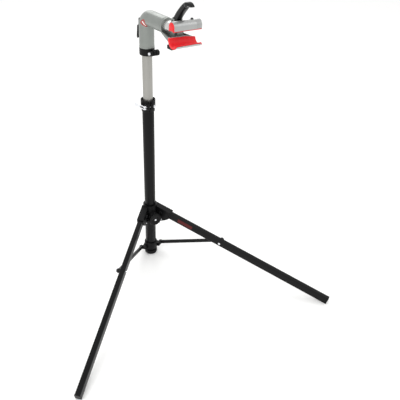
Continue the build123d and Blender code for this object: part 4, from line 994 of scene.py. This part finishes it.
@dataclass
class Leg:
    """One folding leg with its foot cap, its strut and their fasteners."""

    side: Side
    height: float = 30.0
    width: float = 20.0
    corner: float = 4.0
    length: float = 761.0
    back: float = 8.0
    slope: float = 74.05
    label_from: float = 80.0
    label_to: float = 148.0

    @property
    def place(self) -> Place:
        """Frame at the leg's hinge: x outboard, y along the leg, z out of its top."""
        hinge = joint(f"leg_{self.side.word}_fold")
        out = unit(hinge["axis"])
        ahead = np.cross(out, (0, 0, 1))
        angle = math.radians(self.slope)
        along = math.sin(angle) * ahead - math.cos(angle) * np.array([0, 0, 1])
        top = math.cos(angle) * ahead + math.sin(angle) * np.array([0, 0, 1])
        return Place(tuple(hinge["pos_m"]), tuple(self.side.value * out), tuple(along), tuple(top))

    def tube(self) -> None:
        """Rounded rectangle carried along the leg; behind the hinge its height is 2 sqrt(h^2 - x^2)."""
        half = self.height / 2
        behind = np.linspace(-self.back, 0, 9)
        x = np.concatenate([[-self.back], behind, np.linspace(20, self.length - 0.4, 24), [self.length]])
        tall = np.sqrt(half ** 2 - np.minimum(x, 0) ** 2) / half
        ease = np.ones((len(x), 2))
        ease[0] = ease[-1] = 0.96
        loop = rounded_loop([(-self.width / 2, -half), (self.width / 2, -half), (self.width / 2, half),
                             (-self.width / 2, half)], self.corner, 8)
        rows = loop * (ease * np.stack([np.ones_like(x), tall], 1))[:, None]
        points = np.stack([rows[..., 0], np.broadcast_to(x[:, None], rows.shape[:2]), rows[..., 1]], -1)
        word = self.side.word
        tube = build(f"leg_{word}_tube", self.place.put(points))
        dress(tube, self.powder(), f"leg_{word}", f"leg_tube_{word}")

    def powder(self) -> Finish:
        """Satin powder whose peel is drawn a little along the leg, as the gun lays it."""
        return replace(SATIN_POWDER, name=f"satin_powder_coat_{self.side.word}",
                       along=self.place.ahead, stretch=1.8)

    def label(self) -> None:
        """Plain red film on the leg's inboard face, darkened as painted shade: a rounded plate in rows from
        middle to edge.
        """
        middle, half = (self.label_from + self.label_to) / 2, (self.label_to - self.label_from) / 2
        loop = rounded_loop([(-half, -8), (half, -8), (half, 8), (-half, 8)], 2.5, 6)
        levels = np.array([(0.3, 0.5), (1.0, 0.5), (1.0, -0.1), (0.97, -0.22), (0.5, -0.22)])
        rows = loop[None] * levels[:, None, :1]
        out = np.broadcast_to(-self.width / 2 + levels[:, None, 1], rows.shape[:2])
        points = np.stack([out, rows[..., 0] + middle, rows[..., 1] + 1.0], -1)
        label = build(f"leg_{self.side.word}_label", self.place.put(points))
        # The label's dark red is painted shade on the leg's face, not the film's own colour.
        dress(label, LABEL_RED_SHADED, f"leg_{self.side.word}")

    def build(self) -> None:
        """Make every piece of this leg."""
        word = self.side.word
        self.tube()
        if self.side is Side.RIGHT:
            self.label()
        soften(f"leg_cap_{word}", ERODED_NYLON, 0.8)
        soften(f"strut_bar_{word}", SATIN_POWDER, 0.5)
        soften(f"strut_bolt_{word}", BLACK_OXIDE, 0.3)
        soften(f"strut_nut_{word}", CHROME_PLATE, 0.3)
        coat_node(f"leg_plug_{word}", ERODED_NYLON)


@dataclass
class Studio:
    """Pale floor, soft light and the camera."""

    eye: tuple[float, float, float] = (-0.689, -1.676, 1.485)
    heading: float = 28.93
    pitch: float = 33.72
    roll: float = 2.51
    lens: float = 46.95
    sensor: float = 36.0
    floor_half: float = 14.0

    def camera(self) -> None:
        """Camera at `eye`: forward from heading and pitch, then rolled about it."""
        h, p, r = (math.radians(v) for v in (self.heading, self.pitch, self.roll))
        forward = np.array([math.sin(h) * math.cos(p), math.cos(h) * math.cos(p), -math.sin(p)])
        right = np.array([math.cos(h), -math.sin(h), 0.0])
        up = np.cross(right, forward)
        turned_right = math.cos(r) * right + math.sin(r) * up
        turned_up = -math.sin(r) * right + math.cos(r) * up
        basis = np.stack([turned_right, turned_up, -forward], 1)
        data = bpy.data.cameras.new("studio_camera")
        data.lens, data.sensor_width = self.lens, self.sensor
        camera = bpy.data.objects.new("studio_camera", data)
        camera.matrix_world = Matrix.Translation(self.eye) @ Matrix(basis.tolist()).to_4x4()
        bpy.context.scene.collection.objects.link(camera)
        bpy.context.scene.camera = camera

    def lamp(self, name: str, spot: tuple[float, float, float], size: float, power: float) -> None:
        """A square soft box at `spot` that faces the middle of the stand."""
        data = bpy.data.lights.new(name, "AREA")
        data.shape, data.size, data.energy = "SQUARE", size, power
        lamp = bpy.data.objects.new(name, data)
        aim = (Vector((0, 0, 0.55)) - Vector(spot)).to_track_quat("-Z", "Y")
        lamp.matrix_world = Matrix.Translation(spot) @ aim.to_matrix().to_4x4()
        bpy.context.scene.collection.objects.link(lamp)

    def floor(self) -> None:
        """Square floor under the stand, a grid of points at height zero."""
        line = np.linspace(-self.floor_half, self.floor_half, 9)
        x, y = np.meshgrid(line, line)
        points = np.stack([x, y, np.zeros_like(x)], -1)
        mesh = bpy.data.meshes.new("studio_floor")
        i, j = np.meshgrid(np.arange(8), np.arange(8), indexing="ij")
        quads = np.stack([i * 9 + j, i * 9 + j + 1, i * 9 + j + 10, i * 9 + j + 9], -1).reshape(-1, 4)
        mesh.from_pydata(points.reshape(-1, 3).tolist(), [], quads.tolist())
        mesh.materials.append(STUDIO_FLOOR.material())
        floor = bpy.data.objects.new("studio_floor", mesh)
        bpy.context.scene.collection.objects.link(floor)

    def sky(self) -> None:
        """Even white surround."""
        world = bpy.data.worlds.new("studio_surround")
        world.use_nodes = True
        shade = world.node_tree.nodes["Background"]
        shade.inputs["Color"].default_value = linear("#ffffff")
        shade.inputs["Strength"].default_value = 1.0
        bpy.context.scene.world = world

    def build(self) -> None:
        """Set up the whole studio."""
        self.camera()
        self.floor()
        self.sky()
        self.lamp("key_box", (-2.4, -1.8, 3.2), 2.2, 60.0)
        self.lamp("fill_box", (2.8, -1.2, 2.2), 2.0, 14.0)
        self.lamp("rim_box", (0.6, 2.6, 2.8), 1.8, 24.0)


def main() -> None:
    """Build the studio and every sub-assembly in order."""
    logging.basicConfig(level=logging.INFO, format="%(name)s: %(message)s")
    bpy.context.scene.view_settings.view_transform = "Standard"
    assemblies = (Studio(), Mast(), InnerMast(), Head(), Clamp(), UpperJaw(), Handle(), Hub(),
                  Leg(Side.RIGHT), Leg(Side.LEFT))
    for assembly in assemblies:
        assembly.build()
        LOG.info("%s is ready", type(assembly).__name__)


if __name__ == "__main__":
    main()
